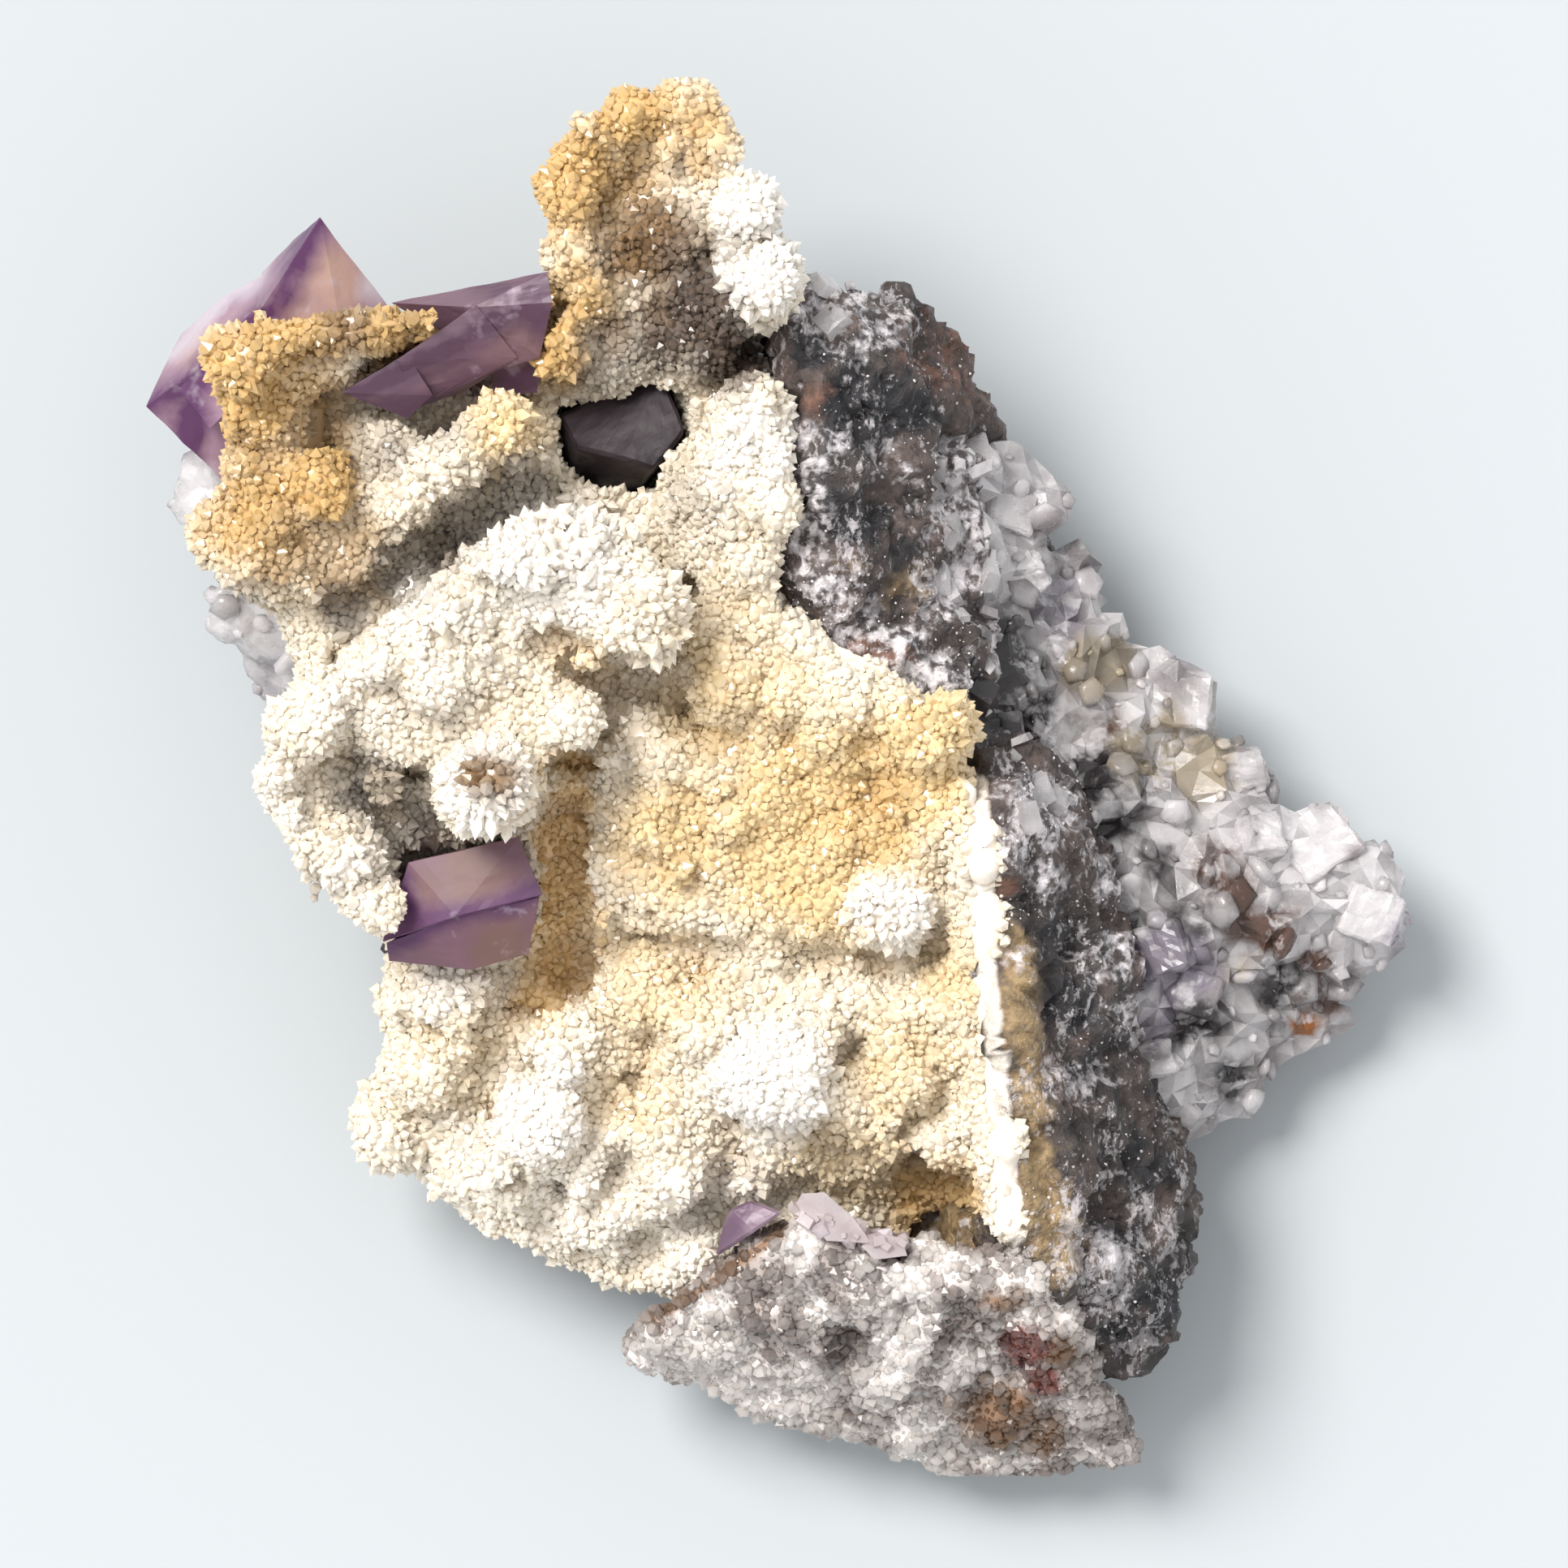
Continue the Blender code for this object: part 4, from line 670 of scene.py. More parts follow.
def druseMaterial(name, look, onPoints):
    clearness = look["clearness"] if onPoints else 0.0
    made, tree, shader, place = newMaterial(name, look["roughness"], clearness, quartzIor)
    zones = ("straw", "gold", "grey", "white", "ochre", "brown", "duskShade")
    colour = mixZones(tree, place, look["cream"], zones, look)
    # painted shade: the painted hollows are tinted a darker ochre
    deep = timesOf(tree, zoneOf(tree, "hollows"), look["hollowShadeShare"], clamp=True)
    colour = mixOf(tree, deep, colour, look["ochre"])
    # painted shade: the colour is darkened and warmed in the gaps between the rounded clusters; painted light: it is
    # lightened on the raised knobs
    below = lessOf(tree, 1.0, zoneOf(tree, "dome"))
    for height, share, tint in ((below, "gapShadeShare", "gapShadeTint"), (zoneOf(tree, "knobs"), "knobLightShare", "knobLightTint")):
        mask = timesOf(tree, height, look[share], clamp=True)
        colour = mixOf(tree, mask, colour, vectorOf(tree, "MULTIPLY", colour, look[tint]))
    colour = vectorOf(tree, "SCALE", colour, remapOf(tree, noiseOf(tree, place, 420.0), 0.3, 0.7, *look["patches"]))
    if onPoints:
        # painted shade at the foot of each point and painted light at its tip, times a random tone for each point
        tipLight, singles = [spread(tree, zoneOf(tree, name), *look["varied"]) for name in ("tip", "shade")]
        colour = vectorOf(tree, "SCALE", colour, timesOf(tree, tipLight, singles))
    else:
        rim = raggedZone(tree, place, "edge", look["rimEdge"])
        # painted shade: the crust is a little darker where the points stand over it; its broken edge takes the rim
        # colour
        colour = mixOf(tree, rim, vectorOf(tree, "SCALE", colour, look["crustShade"]), look["rim"])
    tree.links.new(colour, shader.inputs["Base Color"])
    addGrain(tree, shader, place, look["grain"])
    return made


def nearestPart(mesh, middles):
    places = corners(mesh)[:, :2] / mm
    away = [np.hypot(places[:, 0] - x, places[:, 1] - y) for x, y in middles]
    return np.argmin(away, axis=0).astype(np.int32)


def makeDruse():
    crust = roughSkin("quartz_druse", "druseCrust", druseLook, druseZones, 4, [(whiteStrip, 2.2, 0.8)])
    skin = crust.data
    paintLines(skin, "edge", [whiteStrip], 1.35)
    parts = nearestPart(skin, list(drusePlaces.values()))
    openTo(skin, upwardCover(skin, -0.6) * (readValues(skin, "edge") < 0.4), parts)
    dress(skin, druseMaterial("druseCrustQuartz", druseLook, False))
    pointQuartz = druseMaterial("drusePointQuartz", druseLook, True)
    pieces = [crust]
    for part, name in enumerate(drusePlaces):
        pieces.append(standOn(crust, name, drusePoints, shapes["drusePoint"], pointQuartz, part))
    fewTall = np.clip(readValues(skin, "large") + 0.12, 0, 1)
    openTo(skin, readValues(skin, "cover") * fewTall, parts)
    for part, name in enumerate(drusePlaces):
        pieces.append(standOn(crust, name + "Tall", tallPoints, shapes["tallPoint"], pointQuartz, part))
    handIn(pieces, "quartz_druse")
    print("druse:", facesOf(*pieces), "faces")


makeDruse()


# ---- pale massive fluorite: cleaved blocks at the right, small lumps at the left

paleLook = {
    "voxel": 0.4 * mm, "swell": -0.1 * mm,
    "cragSize": 5.0 * mm, "cragHeight": 0.9 * mm,
    "blockSize": 2.8 * mm, "blockHeight": 1.7 * mm,
    "grainSize": 1.2 * mm, "grainHeight": 0.4 * mm,
    "edge": (300.0, 1.8, 2.6), "veins": 0.7, "gloss": (0.12, 0.45), "grain": (1100.0, 500.0, 0.7, 0.35, 0.15 * mm),
    "body": tone(178, 171, 172), "lilac": tone(170, 162, 174), "pale": tone(248, 244, 245),
    "smoke": tone(68, 63, 65), "brown": tone(116, 88, 76), "orange": tone(166, 98, 40), "sand": tone(196, 182, 160),
    "roughness": 0.15, "clearness": 0.6, "varied": (0.65, 1.25), "facetShare": 0.1, "chipShare": 0.7,
}
paleChips = {"spacing": 1.5 * mm, "radius": (0.35 * mm, 1.5 * mm), "length": 0.8, "tilt": 0.8,
             "lift": -0.5 * mm, "seed": 140, "soft": True}
lumpsLook = {**paleLook, "cragHeight": 1.2 * mm, "blockHeight": 0.6 * mm, "facetShare": 0.5, "chipShare": 0.3,
             "varied": (0.9, 1.1), "body": tone(200, 194, 199)}
paleZones = {
    "pale": [(33, -4.6, 4.4, 1), (36.6, -7.6, 4, 0.9), (12.6, 17.4, 3.6, 1), (14.6, 14.4, 2.8, 0.9),
        (23, 5, 2, 0.8), (-38.6, 18.6, 3, 1), (-35, 10, 4, 0.8), (-31, 8, 3, 0.6), (11, 12.6, 2.4, 0.7),
        (29, -2.4, 3, 0.5), (25.6, -19.6, 3, 0.7), (37.6, -11, 3, 0.6), (22, -8.6, 1.6, 0.8),
        (23, -14.6, 1.6, 0.8), (27, -17, 2, 0.6), (30, -16, 2, 0.5), (16.6, 20, 1.6, 0.5)],
    "smoke": [(22.6, -1, 2.4, 0.6), (31.6, -13, 2.4, 0.7), (26, -8.6, 2, 0.6), (13.6, 7.4, 3.4, 1),
        (15.4, 4, 2.6, 0.9), (13.6, 9.6, 2, 0.7), (19.6, 0.6, 2.6, 0.8), (21, -2.6, 2, 0.8),
        (26.6, -15.6, 2.4, 0.9), (28.6, -19, 2, 0.8), (24, -5, 2, 0.6), (24.4, -17.6, 2, 0.5),
        (17, 15, 1.6, 0.4)],
    "brown": [(29, -6, 2.4, 1), (27, -4.4, 1.6, 0.7), (31.4, -9.6, 2, 1), (34, -11.6, 1.6, 0.9),
        (29.6, -9, 1.6, 0.8), (34.4, -14, 2, 0.8), (32.6, -7.6, 1.6, 0.7), (20.6, 4.6, 2, 0.5),
        (18.6, 3.4, 2, 0.5)],
    "orange": [(33.6, -15.6, 1.2, 1), (13, 18.6, 0.8, 0.4)],
    "sand": [(20.6, 7.6, 3, 0.9), (24, 3, 3.4, 0.8), (27, 1, 3, 0.8), (22.6, 1.4, 3, 0.7),
        (29.6, -11.6, 2, 0.5)],
    "lilac": [(25, -11.6, 3.4, 1), (23.6, -15, 2.4, 0.9), (38, -9, 3, 0.8), (17.6, 11.6, 2.6, 0.8),
        (31, -3, 2, 0.5)],
}


def paleMaterial(name, look, onChips):
    made, tree, shader, place = newMaterial(name, look["roughness"], look["clearness"], fluoriteIor)
    colour = mixOf(tree, remapOf(tree, noiseOf(tree, place, 240.0, 5.0), 0.38, 0.64), look["body"], look["pale"])
    colour = mixZones(tree, place, colour, ("sand", "lilac", "smoke", "brown", "pale", "orange"), look)
    veins = timesOf(tree, fleckMask(tree, place, 700.0, 0.42, 200.0), look["veins"])
    colour = mixOf(tree, veins, colour, look["pale"])
    # painted light and shade: a random lighter or darker tone on each facet and chip stands in for broken facets
    # catching the light unevenly
    facetLight = zoneOf(tree, "shade" if onChips else "facet")
    colour = vectorOf(tree, "SCALE", colour, spread(tree, facetLight, *look["varied"]))
    tree.links.new(colour, shader.inputs["Base Color"])
    gloss = remapOf(tree, noiseOf(tree, place, 700.0), 0.3, 0.7, *look["gloss"])
    tree.links.new(gloss, shader.inputs["Roughness"])
    addGrain(tree, shader, place, look["grain"])
    return made


shelfBlocks = [  # larger cleavage blocks: x, y and size in millimetres, and the turn in degrees
    (25.2, 5.2, 4.0, -6), (29.2, 0.8, 3.2, 12), (11.8, 20.4, 3.2, 24), (14.4, 17.4, 2.8, -14), (15.6, 13.2, 2.4, 30),
    (34.4, -3.8, 4.2, 32), (37.6, -8.4, 3.4, -20), (30.4, -3.4, 2.8, 10), (24.2, -10.6, 3.2, 20),
    (26.4, -13.4, 2.6, -16), (20.6, 2.6, 2.8, 18), (17.4, 8.4, 2.2, -8), (21.4, -7.4, 2.2, 26), (23.6, -17.6, 2.4, 8),
]
blockLook = {
    "lean": 0.35, "lowest": 0.7, "flatness": 0.6, "sunk": 0.12, "bevel": 0.14 * mm, "faceSize": 0.7 * mm,
    "cragSize": 3 * mm, "cragHeight": 0.5 * mm, "grainSize": 0.8 * mm, "grainHeight": 0.25 * mm, "shade": 0.6,
}


def makeBlocks(name, mass, look, chance):
    # sets each block into the surface of mass, tilted a little
    bpy.context.view_layer.update()
    bm = bmesh.new()
    above = 0.1  # higher than anything
    for x, y, size, turn in shelfBlocks:
        hit, place = mass.ray_cast((x * mm, y * mm, above), (0, 0, -1))[:2]
        if not hit:
            continue
        made = bmesh.ops.create_cube(bm, size=size * mm)["verts"]
        leanX, leanY = [chance.uniform(-look["lean"], look["lean"]) for axis in "xy"]
        lean = Euler((leanX, leanY, math.radians(turn)))
        bmesh.ops.scale(bm, vec=(1.0, chance.uniform(look["lowest"], 1.0), look["flatness"]), verts=made)
        bmesh.ops.rotate(bm, matrix=lean.to_matrix(), verts=made)
        bmesh.ops.translate(bm, vec=place - Vector((0, 0, look["sunk"] * size * mm)), verts=made)
    bmesh.ops.bevel(bm, geom=bm.edges[:], offset=look["bevel"], segments=1, affect="EDGES")
    splitFinely(bm, look["faceSize"])
    obj = newObject(name, meshFrom(bm, name))
    roughenMesh(obj, look)
    paintZones(obj.data, paleZones)
    setValues(obj.data, "shade", np.full(len(obj.data.vertices), look["shade"], np.float32))
    keepInBox(obj.data)
    return obj


def makePale():
    onChips = paleMaterial("paleFluoriteChips", paleLook, True)
    for node, name, look in (("pale_fluorite", "paleShelf", paleLook),
                             ("pale_fluorite_left", "paleLumps", lumpsLook)):
        mass = roughSkin(node, name, look, paleZones)
        breakIntoFacets(mass, look["facetShare"])
        paintZones(mass.data, paleZones)
        openTo(mass.data, upwardCover(mass.data, -0.5) * look["chipShare"])
        dress(mass.data, paleMaterial(name + "Mass", look, False))
        pieces = [mass, standOn(mass, name + "Chips", paleChips, shapes["meltedChip"], onChips)]
        if look is lumpsLook:
            mass.data.shade_smooth()
        else:
            blocks = makeBlocks("shelfBlocks", mass, blockLook, random.Random(3))
            dress(blocks.data, onChips)
            pieces.append(blocks)
        handIn(pieces, node)
        print("pale fluorite:", name, facesOf(*pieces), "faces")


makePale()


# ---- the dark rock, its flecks and its two broken walls

rockLook = {
    "voxel": 0.42 * mm, "swell": 0.2 * mm,
    "cragSize": 5.0 * mm, "cragHeight": 1.3 * mm,
    "blockSize": 1.5 * mm, "blockHeight": 0.9 * mm,
    "grainSize": 0.8 * mm, "grainHeight": 0.9 * mm,
    "knobHeight": 1.3 * mm, "grain": (1800.0, 800.0, 0.8, 1.0, 0.35 * mm),
    "edge": (420.0, 2.4, 2.2), "stripEdge": (500.0, 0.5, 4.0), "streakTurn": 0.35, "streakWidth": 0.5,
    "dark": tone(50, 44, 42), "mid": tone(86, 73, 68), "pale": tone(206, 200, 202), "black": tone(34, 32, 35),
    "olive": tone(138, 116, 84), "rust": tone(104, 72, 58), "white": tone(226, 216, 204),
    "speckles": (0.38, 0.53), "fineShare": 0.5, "coarseShare": 0.55, "mottle": (0.7, 1.4),
    "roughness": 0.5, "fleckRoughness": 0.25,
}
rockGrains = {"spacing": 0.5 * mm, "radius": (0.05 * mm, 0.16 * mm), "length": 0.8, "tilt": 1.2,
              "lift": -0.03 * mm, "seed": 100}
rockChips = {"spacing": 1.3 * mm, "radius": (0.35 * mm, 1.7 * mm), "length": 0.6, "tilt": 0.8,
             "lift": -0.3 * mm, "seed": 160}
paleSeam = [(1.0, 22), (1.8, 17.4), (1.5, 13.6), (3.6, 11.2), (6.2, 9), (8.6, 6.8), (10.6, 5)]
oliveSeam = [(14.6, -10), (15.0, -14), (15.6, -19), (16.2, -24), (16.8, -29)]
stripFoot = [(13.4, -1), (13.7, -6), (14.0, -12), (14.6, -17), (15.0, -22), (15.5, -26), (15.6, -29)]
rockZones = {
    "black": [(5, 24, 3.6, 1), (8, 23.6, 2.4, 0.8), (4, 17, 3, 0.8), (1.6, 27.4, 1.6, 1), (6.4, 15, 2.6, 0.6),
        (5.4, 12.6, 1.8, 0.5), (15, -7, 2, 0.4), (17, -10, 2.6, 0.6), (18, -14, 3, 0.7), (19.6, -18, 2.6, 0.6),
        (23, -33, 4, 0.7), (21, -29, 3, 0.6), (22.6, -24, 2.6, 0.6), (13.6, 4, 2.4, 0.8)],
    "pale": [(2.6, 30.4, 3, 1), (5.6, 28.8, 2.6, 0.7), (2.6, 13, 2.4, 0.5), (16, -6, 2, 0.7),
        (1.6, 16.6, 1.4, 0.7), (4.4, 10.4, 2.4, 0.7), (7.4, 8.6, 2.4, 0.7), (9.6, 6.4, 2.4, 0.8),
        (16, -1.6, 3, 1), (14, -4, 1.8, 0.8), (20.6, -6.4, 2, 0.8), (20.6, -11, 2.2, 0.9), (21.6, -15, 2, 0.9),
        (13.4, 8, 2.4, 0.6), (20.4, -30.4, 2.4, 0.55), (6.4, 20.6, 2.6, 0.5), (10.6, 20.6, 2.4, 0.6),
        (9.6, 12, 2.6, 0.6), (14.4, -11, 1.2, 0.6), (3, 21.8, 1.6, 0.4), (11.4, 17, 2.6, 0.9),
        (12.6, 13.6, 2.4, 0.8)],
    "smoke": [(13.6, 7.4, 3.4, 1), (15.4, 4, 2.6, 0.9), (13.6, 9.6, 2, 0.7)],
    "olive": [(7.4, 12.6, 2.4, 0.5), (4, 14.6, 1.6, 0.4), (17.6, -29.6, 2.4, 0.6), (11, -28.6, 3.6, 1)],
    "glassy": [(10.6, 20, 2.6, 0.8), (10.4, 16, 2.6, 0.9), (11.4, 12, 3, 1), (12.6, 8, 3, 1),
        (14.4, 4, 2.4, 0.9), (16, -1.4, 2.6, 0.8), (3, 30.6, 2.2, 0.5), (21.6, -9, 2, 0.6),
        (22.4, -15, 2, 0.5)],
    "rust": [(10.4, 26, 3.2, 0.45), (8, 28.4, 2.4, 0.4), (5, 8.6, 1.4, 0.9), (7, 7.6, 1.4, 0.9),
        (13.5, -6, 1, 0.9), (13.6, -9, 0.8, 0.7), (2.4, 24.2, 1.4, 0.8), (7.6, 26.6, 2, 0.6),
        (16.4, -17.6, 1.2, 0.5)],
    "knobs": [(12.6, -28.8, 2.4, 1), (9.6, -28.8, 2, 0.8)],
    "speckled": [(18, -20, 3, 0.9), (19, -25, 4, 1), (21, -31, 5, 1), (23, -37, 4, 0.8), (19, -15, 3, 0.7),
        (5, 13, 3, 0.1), (8, 17, 3, 0.4), (5, 26, 3, 0.3)],
    "grainy": [(2, 12, 4, 0.8), (6, 9, 4, 0.9), (11, 8, 4, 0.8), (11, 14, 4, 0.6), (16, -2, 4, 0.9),
        (14, -8, 2, 0.7), (20, -9, 3.4, 0.8), (21.4, -16, 3, 0.8), (22, -22, 3, 0.6), (15, -20, 3, 0.35),
        (18.6, -27, 5, 0.45), (22, -34, 4, 0.45), (3, 22, 3, 0.4), (8, 20, 4, 0.4), (9, 27, 4, 0.4),
        (2.6, 30, 3, 0.5)],
}


def rockMaterial(look):
    made, tree, shader, place = newMaterial("darkRock", look["roughness"])
    streaks = addNode(tree, "ShaderNodeMapping", {"Vector": place, "Rotation": (0.0, 0.0, look["streakTurn"]),
                                                  "Scale": (1.0, look["streakWidth"], 1.0)}).outputs[0]
    colour = mixOf(tree, remapOf(tree, noiseOf(tree, place, 260.0, 8.0), 0.4, 0.62), look["dark"], look["mid"])
    colour = mixZones(tree, place, colour, ("olive", "rust", "black"), look)
    sugar = remapOf(tree, noiseOf(tree, place, 1300.0, 5.0), 0.43, 0.57, 0.05, 1.0)
    veil = timesOf(tree, raggedZone(tree, place, "pale", look["edge"]), sugar)
    colour = mixOf(tree, veil, colour, look["pale"])
    fine = fleckMask(tree, streaks, 2100.0, spread(tree, zoneOf(tree, "speckled"), *look["speckles"]), 300.0)
    coarse = fleckMask(tree, place, 800.0, 0.36, 190.0)
    for mask, share in ((fine, "fineShare"), (coarse, "coarseShare")):
        colour = mixOf(tree, timesOf(tree, mask, look[share]), colour, look["pale"])
    mottle = remapOf(tree, noiseOf(tree, place, 1500.0, 6.0), 0.36, 0.64, *look["mottle"])
    colour = vectorOf(tree, "SCALE", colour, mottle)
    colour = mixOf(tree, raggedZone(tree, place, "strip", look["stripEdge"]), colour, look["white"])
    tree.links.new(colour, shader.inputs["Base Color"])
    tree.links.new(spread(tree, fine, look["roughness"], look["fleckRoughness"]), shader.inputs["Roughness"])
    addGrain(tree, shader, place, look["grain"])
    return made


grainLook = {"colour": tone(232, 226, 226), "dull": tone(178, 168, 164), "roughness": 0.25, "clearness": 0.15,
             "grain": (3000.0, 1200.0, 0.5, 0.3, 0.05 * mm)}


def grainMaterial(look):
    # clear and white grains in the rock
    made, tree, shader, place = newMaterial("rockGrainQuartz", look["roughness"], look["clearness"], quartzIor)
    colour = mixOf(tree, zoneOf(tree, "shade"), look["dull"], look["colour"])
    colour = vectorOf(tree, "SCALE", colour, remapOf(tree, noiseOf(tree, place, 900.0), 0.3, 0.7, 0.85, 1.05))
    tree.links.new(colour, shader.inputs["Base Color"])
    addGrain(tree, shader, place, look["grain"])
    return made


def makeRock():
    rock = roughSkin("rock_matrix", "rockWalls", rockLook, rockZones, 2, [(stripFoot, 1.5, 0.7)])
    walls = rock.data
    paintLines(walls, "strip", [whiteStrip], 1.1)
    paintLines(walls, "olive", [oliveSeam], 2.2)
    paintLines(walls, "pale", [paleSeam], 1.8, 0.9)
    dress(walls, rockMaterial(rockLook))
    upward = upwardCover(walls, -0.6)
    openTo(walls, upward * readValues(walls, "grainy"))
    grains = standOn(rock, "rockGrains", rockGrains, shapes["sugarGrain"], grainMaterial(grainLook))
    openTo(walls, upward * readValues(walls, "glassy"))
    chips = standOn(rock, "rockGlass", rockChips, shapes["cleavageChip"], paleMaterial("rockGlass", paleLook, True))
    handIn([rock, grains, chips], "rock_matrix")
    print("rock:", facesOf(rock, grains, chips), "faces")


makeRock()


# ---- the broken wall of sugary quartz

sugarLook = {
    "voxel": 0.42 * mm, "swell": -0.35 * mm, "hollowDepth": 1.6 * mm,
    "clusterSize": 2.8 * mm, "clusterHeight": 0.7 * mm,
    "blockSize": 2.0 * mm, "blockHeight": 0.6 * mm,
    "grainSize": 0.9 * mm, "grainHeight": 0.6 * mm,
    "edge": (300.0, 1.6, 2.2), "streakEdge": (400.0, 0.5, 1.8), "grain": (2200.0, 900.0, 0.6, 0.25, 0.1 * mm),
    "body": tone(172, 160, 154), "pale": tone(250, 244, 239), "smoke": tone(132, 118, 112),
    "stain": tone(132, 82, 74), "brown": tone(146, 112, 84), "seam": tone(150, 122, 100),
    "shade": (0.86, 1.08), "tip": (0.93, 1.03), "wallShade": 0.95, "roughness": 0.25, "clearness": 0.6,
}
sugarGrains = {"spacing": 0.42 * mm, "radius": (0.18 * mm, 0.7 * mm), "length": 0.85, "tilt": 1.4,
               "lift": -0.1 * mm, "seed": 180}
sugarZones = {
    "pale": [(-4, -37.4, 3.4, 0.9), (-8, -36.8, 2.4, 0.7), (-1, -39.6, 2.4, 0.8), (7.4, -34.6, 2.4, 1),
        (7.9, -32, 1.8, 0.9), (7, -37, 1.8, 0.9), (6, -38.6, 2.4, 0.7), (9, -42, 3, 0.8), (1, -39, 3, 0.6),
        (-6, -34.8, 2.4, 0.6), (14, -31, 2, 0.5), (1, -29.6, 2, 0.6), (11, -37.6, 1.4, 0.7)],
    "smoke": [(4, -35.6, 2.2, 0.9), (5.4, -37.4, 1.6, 0.6), (11.4, -34, 2, 0.6), (12.4, -39, 2, 0.6),
        (-1.6, -35.4, 1.6, 0.6), (5, -31.6, 2, 0.4)],
    "stain": [(15.4, -35.6, 2, 1), (16.6, -38, 1.4, 0.6)],
    "brown": [(14, -40, 2.8, 0.9), (16.4, -41.6, 2, 0.7), (14, -32.4, 1.8, 0.6), (17.4, -36, 1.6, 0.7),
        (11.4, -40.4, 2, 0.6)],
    "hollows": [(4, -35.8, 1.8, 0.8), (-1.6, -35.6, 1.4, 0.5), (11.6, -36.4, 1.4, 0.4), (12.4, -39.4, 1.4, 0.5),
        (6, -31.6, 1.4, 0.4)],
}
ridgeStreak = [(-8.4, -34.4), (-5, -32), (-2.4, -30.2), (0, -28.4)]


def sugarMaterial(name, look, onGrains):
    clearness = look["clearness"] if onGrains else 0.0
    made, tree, shader, place = newMaterial(name, look["roughness"], clearness, quartzIor)
    colour = mixOf(tree, remapOf(tree, noiseOf(tree, place, 330.0, 5.0), 0.42, 0.66), look["body"], look["pale"])
    colour = mixZones(tree, place, colour, ("smoke", "brown", "stain", "pale"), look)
    colour = mixOf(tree, raggedZone(tree, place, "streak", look["streakEdge"]), colour, look["seam"])
    # painted shade: the wall between the grains is a little darker, and each grain is darker at its foot and lighter
    # at its tip, times a random tone for each grain
    lit = look["wallShade"]
    if onGrains:
        tipLight, singles = [spread(tree, zoneOf(tree, name), *look[name]) for name in ("tip", "shade")]
        lit = timesOf(tree, tipLight, singles)
    tree.links.new(vectorOf(tree, "SCALE", colour, lit), shader.inputs["Base Color"])
    addGrain(tree, shader, place, look["grain"])
    return made


def makeSugar():
    wall = roughSkin("broken_quartz", "brokenWall", sugarLook, sugarZones)
    paintLines(wall.data, "streak", [ridgeStreak], 0.6)
    openTo(wall.data, upwardCover(wall.data, -0.7))
    dress(wall.data, sugarMaterial("sugaryQuartz", sugarLook, False))
    grains = standOn(wall, "brokenWallGrains", sugarGrains, shapes["sugarGrain"],
                     sugarMaterial("sugaryQuartzGrains", sugarLook, True))
    handIn([wall, grains], "broken_quartz")
    print("broken wall:", facesOf(wall, grains), "faces")


makeSugar()


# ---- the purple fluorite crystals

fluoriteLook = {
    "faceSize": 0.5 * mm, "bevel": 0.2 * mm, "flattest": math.radians(1.5), "sharpest": math.radians(12),
    "cragSize": 3.0 * mm, "cragHeight": 0.1 * mm, "grainSize": 0.9 * mm, "grainHeight": 0.04 * mm,
    "edge": (340.0, 1.3, 1.5), "cloud": 0.35, "veins": 0.35, "waves": (0.08, 0.06 * mm),
    "body": tone(172, 138, 162), "deep": tone(100, 56, 102), "pink": tone(204, 168, 156),
    "clear": tone(216, 204, 214), "roughness": 0.36, "clearness": 0.4,
}
plumLook = {**fluoriteLook, "body": tone(130, 98, 114), "deep": tone(100, 70, 92), "pink": tone(138, 108, 110),
           "clear": tone(206, 184, 200)}
smokyLook = {**fluoriteLook, "body": tone(44, 34, 40), "deep": tone(28, 21, 26), "pink": tone(56, 43, 49),
             "clearness": 0.1, "veins": 0.05, "roughness": 0.55}
roseLook = {**fluoriteLook, "body": tone(118, 84, 100), "deep": tone(88, 48, 88), "pink": tone(118, 88, 82),
            "veins": 0.3, "clearness": 0.2, "roughness": 0.5}
faintLook = {**fluoriteLook, "body": tone(236, 226, 222), "deep": tone(222, 208, 210),
             "pink": tone(228, 212, 208), "clearness": 0.6, "veins": 0.5}
greyLook = {**fluoriteLook, "body": tone(150, 126, 144), "deep": tone(118, 92, 114), "pink": tone(176, 148, 156)}
fluoritePieces = {  # each crystal's look, its lines of deepest purple seen from above, and how wide they are
    "fluorite_left": (fluoriteLook, [[(-41, 24), (-37.4, 25.4), (-34.5, 28), (-31.6, 31.2), (-29.8, 36)],
                                     [(-37.6, 25), (-37.8, 20)]], 1.9),
    "fluorite_top": (plumLook, [[(-28, 24.4), (-24, 26), (-19.8, 28.4), (-15, 31.4)],
                                [(-27, 23.4), (-20, 24.6), (-16, 25.6)], [(-19, 32), (-15, 29)]], 1.8),
    "fluorite_recess": (smokyLook, [[(-14, 19), (-10, 18), (-7, 20)]], 3.0),
    "fluorite_lower": (roseLook, [[(-25.4, -10.4), (-22.6, -8.8), (-18, -7.6), (-15.4, -6.6)],
                                  [(-25, -4.6), (-23.6, -8.6)]], 1.3),
    "fluorite_small": (greyLook, [[(-4.5, -30), (-2.3, -26.5)]], 1.2),
    "fluorite_front": (faintLook, [[(0.6, -26.4), (5, -29), (7.6, -29.6)]], 0.8),
}
fluoriteZones = {
    "pink": [(-28.6, 32, 3, 0.9), (-31.4, 29.6, 2.4, 0.8), (-37, 27.6, 2.4, 0.5), (-16.6, 28.4, 2.4, 0.6),
        (-19.6, -6, 3, 0.7), (-18, -10.6, 2.4, 0.9), (-22.6, -6.4, 1.6, 0.4), (-37.6, 21.6, 1.6, 0.4)],
    "clear": [(-34.6, 32.4, 2, 0.9), (-37.6, 29.8, 1.8, 0.7), (-26, 31.6, 1.6, 0.8), (-17.6, 29.8, 1, 0.6),
        (3, -28, 3, 0.5), (6.6, -29.4, 2, 0.5), (-36.4, 19.8, 1.4, 0.6)],
}


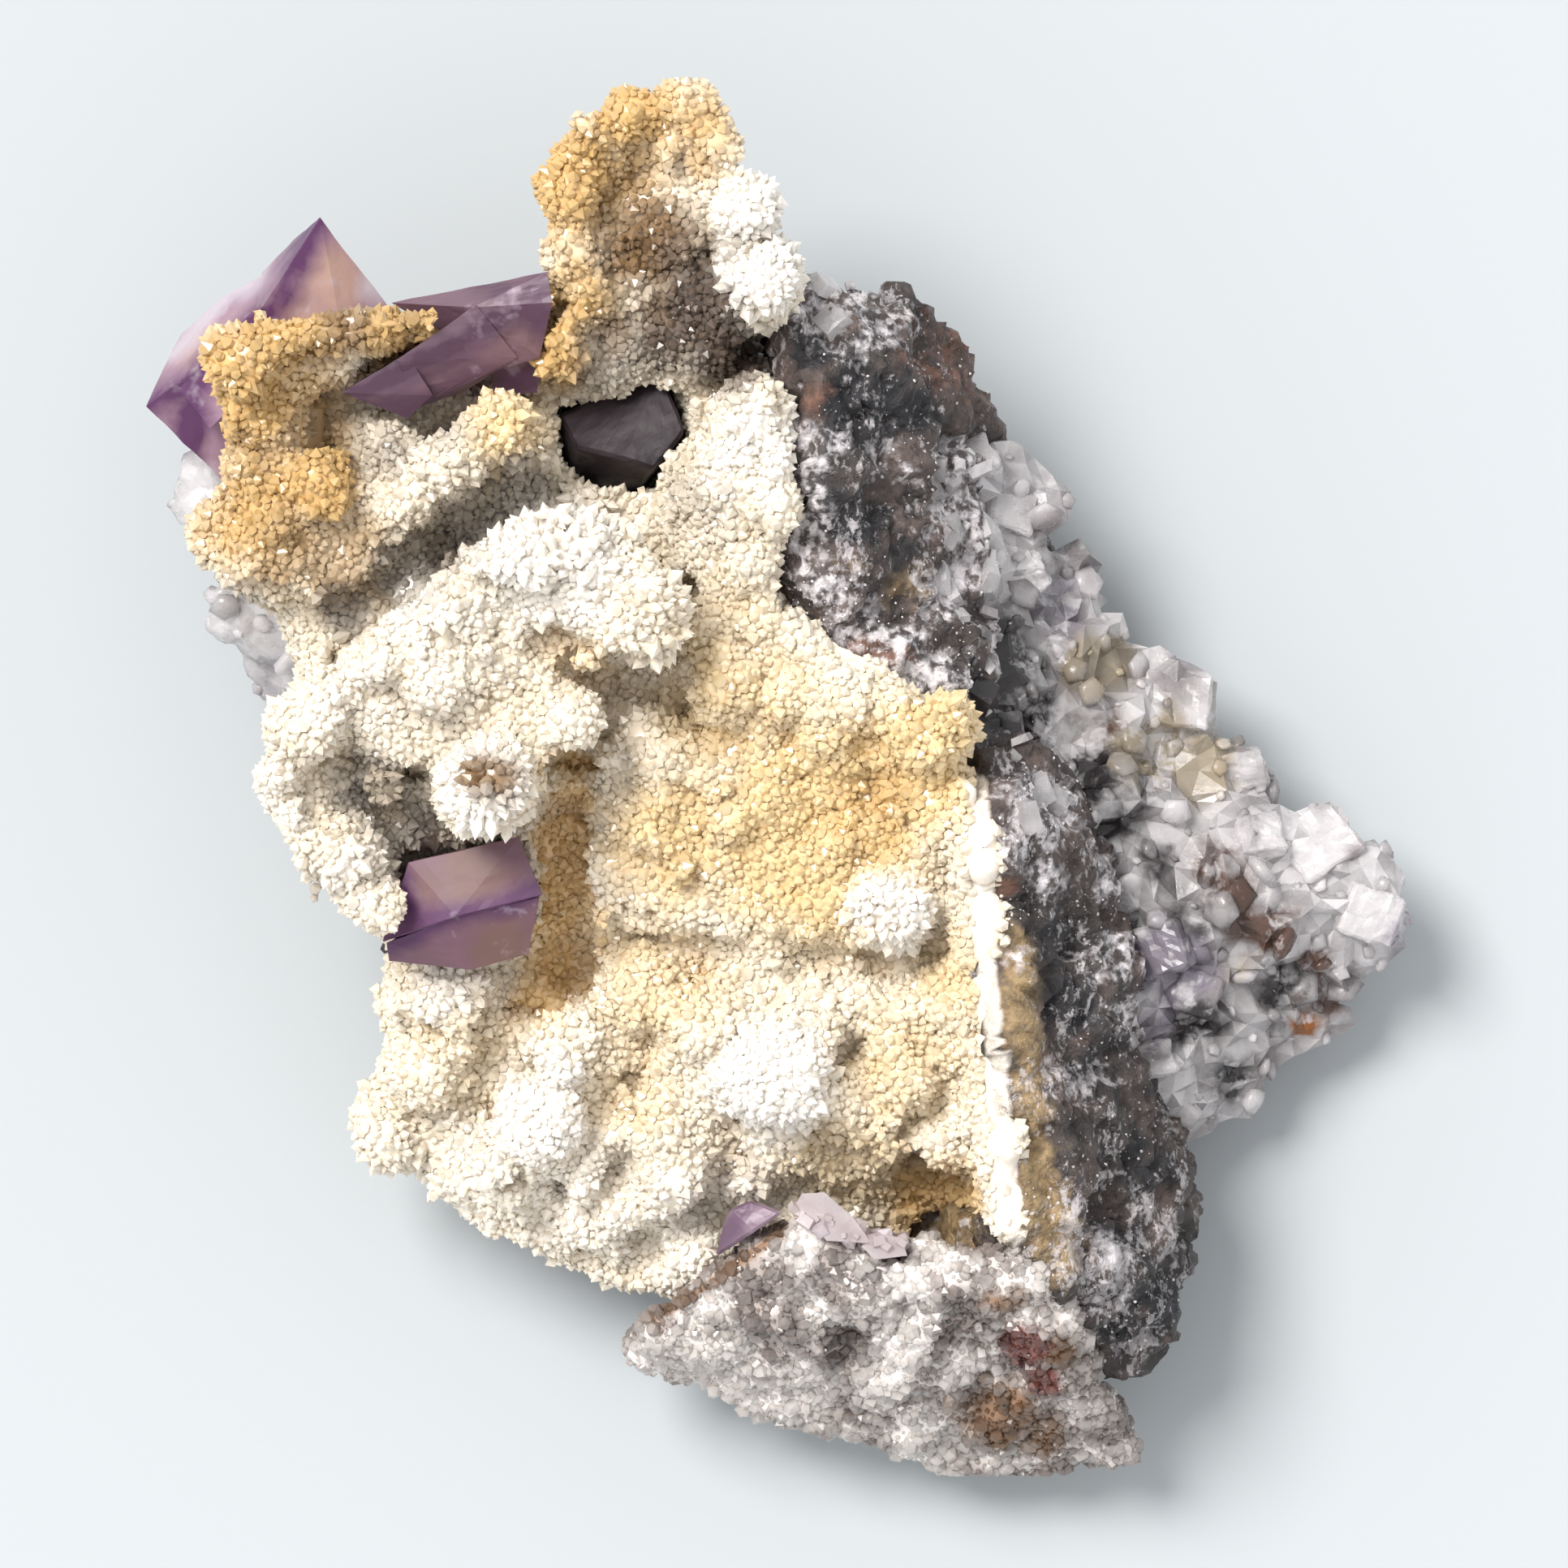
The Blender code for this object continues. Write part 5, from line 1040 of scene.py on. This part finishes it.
def fluoriteMaterial(name, look):
    made, tree, shader, place = newMaterial(name, look["roughness"], look["clearness"], fluoriteIor)
    cloud = remapOf(tree, noiseOf(tree, place, 260.0, 4.0), 0.35, 0.7)
    colour = mixOf(tree, timesOf(tree, cloud, look["cloud"]), look["body"], look["pink"])
    colour = mixZones(tree, place, colour, ("pink", "clear", "deep"), look)
    veins = timesOf(tree, fleckMask(tree, place, 420.0, 0.36, 150.0), look["veins"])
    tree.links.new(mixOf(tree, veins, colour, look["clear"]), shader.inputs["Base Color"])
    addBump(tree, shader, noiseOf(tree, place, 500.0), *look["waves"])
    return made


crestGrains = {"spacing": 0.5 * mm, "radius": (0.25 * mm, 0.8 * mm), "length": 0.9, "tilt": 1.3, "lift": 0.0,
               "seed": 220}
paleLines = {  # the lighter bands on two of the crystals
    "fluorite_top": [[(-27.4, 24.8), (-23.6, 26.4), (-20.4, 28.4), (-18, 29.6)]],
    "fluorite_left": [[(-38.8, 27.6), (-36.4, 30.4), (-33.4, 33.2)]],
}
crestLines = {"fluorite_front": [[(1, -27), (3.4, -28.4), (7, -29.4)]]}  # where small crystals sit on a larger one


def makeFluorite():
    for node, (look, lines, width) in fluoritePieces.items():
        name = "crystal" + node.title().replace("_", "").replace("Fluorite", "")
        obj = solidCopy(node, name)
        bm = bmesh.new()
        bm.from_mesh(obj.data)
        bmesh.ops.dissolve_limit(bm, angle_limit=look["flattest"], verts=bm.verts, edges=bm.edges)
        sharp = [edge for edge in bm.edges if edge.is_manifold and edge.calc_face_angle(0) > look["sharpest"]]
        bmesh.ops.bevel(bm, geom=sharp, offset=look["bevel"], segments=1, affect="EDGES", clamp_overlap=True)
        splitFinely(bm, look["faceSize"])
        bm.to_mesh(obj.data)
        bm.free()
        roughenMesh(obj, look)
        paintZones(obj.data, fluoriteZones)
        paintLines(obj.data, "deep", lines, width)
        paintLines(obj.data, "clear", paleLines.get(node, []), 1.3, 0.75)
        dress(obj.data, fluoriteMaterial(name + "Purple", look))
        keepInBox(obj.data)
        pieces = [obj]
        if node in crestLines:
            paintLines(obj.data, "cover", crestLines[node], 0.9)
            openTo(obj.data, readValues(obj.data, "cover"))
            pieces.append(standOn(obj, name + "Crest", crestGrains, shapes["cleavageChip"],
                                  fluoriteMaterial(name + "CrestPurple", faintLook)))
        handIn(pieces, node)
        print("fluorite:", name, facesOf(*pieces), "faces")


makeFluorite()
for shape in shapes.values():
    bpy.data.objects.remove(shape)


# ---- floor, light and camera

setLook = {
    "floor": tone(172, 177, 180), "floorSize": 3.0,
    "sky": (0.975, 0.985, 1.0, 1.0), "skyStrength": 1.03,
    "sunFrom": (-0.46, 0.44, 1.0), "sunPower": 3.95, "sunWidth": math.radians(24),
    "sunColour": (1.0, 0.975, 0.945), "lens": 500.0, "sensorWidth": 36.0,  # the camera's, in millimetres
    "frameWidth": 100.1 * mm, "middleHeight": 18 * mm,
}


def makeFloor(look):
    half = look["floorSize"] / 2
    mesh = bpy.data.meshes.new("floor")
    mesh.from_pydata([(-half, -half, 0), (half, -half, 0), (half, half, 0), (-half, half, 0)], [], [(0, 1, 2, 3)])
    floor = newObject("floor", mesh)
    floor.location.z = -0.05 * mm  # just below the rock's flat foot
    made, tree, shader, place = newMaterial("paleFloor", 0.9)
    shade = remapOf(tree, noiseOf(tree, place, 3.0), 0.3, 0.7, 0.995, 1.0)
    tree.links.new(vectorOf(tree, "SCALE", look["floor"][:3], shade), shader.inputs["Base Color"])
    mesh.materials.append(made)


def makeSet(look):
    makeFloor(look)
    sun = bpy.data.lights.new("softSun", "SUN")
    sun.energy = look["sunPower"]
    sun.angle = look["sunWidth"]
    sun.color = look["sunColour"]
    lamp = newObject("softSun", sun)
    lamp.location = look["sunFrom"]
    lamp.rotation_euler = Vector(look["sunFrom"]).to_track_quat("Z", "Y").to_euler()
    world = bpy.data.worlds.new("softStudio")
    world.use_nodes = True
    sky = world.node_tree.nodes["Background"]
    sky.inputs["Color"].default_value = look["sky"]
    sky.inputs["Strength"].default_value = look["skyStrength"]
    scene = bpy.context.scene
    scene.world = world
    scene.view_settings.view_transform = "Standard"
    camera = bpy.data.cameras.new("camera")
    camera.lens = look["lens"]
    camera.sensor_width = look["sensorWidth"]
    camera.clip_end = 10.0
    viewer = newObject("camera", camera)
    viewer.location = (0, 0, look["middleHeight"] + look["frameWidth"] * look["lens"] / look["sensorWidth"])
    scene.camera = viewer


makeSet(setLook)
print("floor, lights and camera are set")
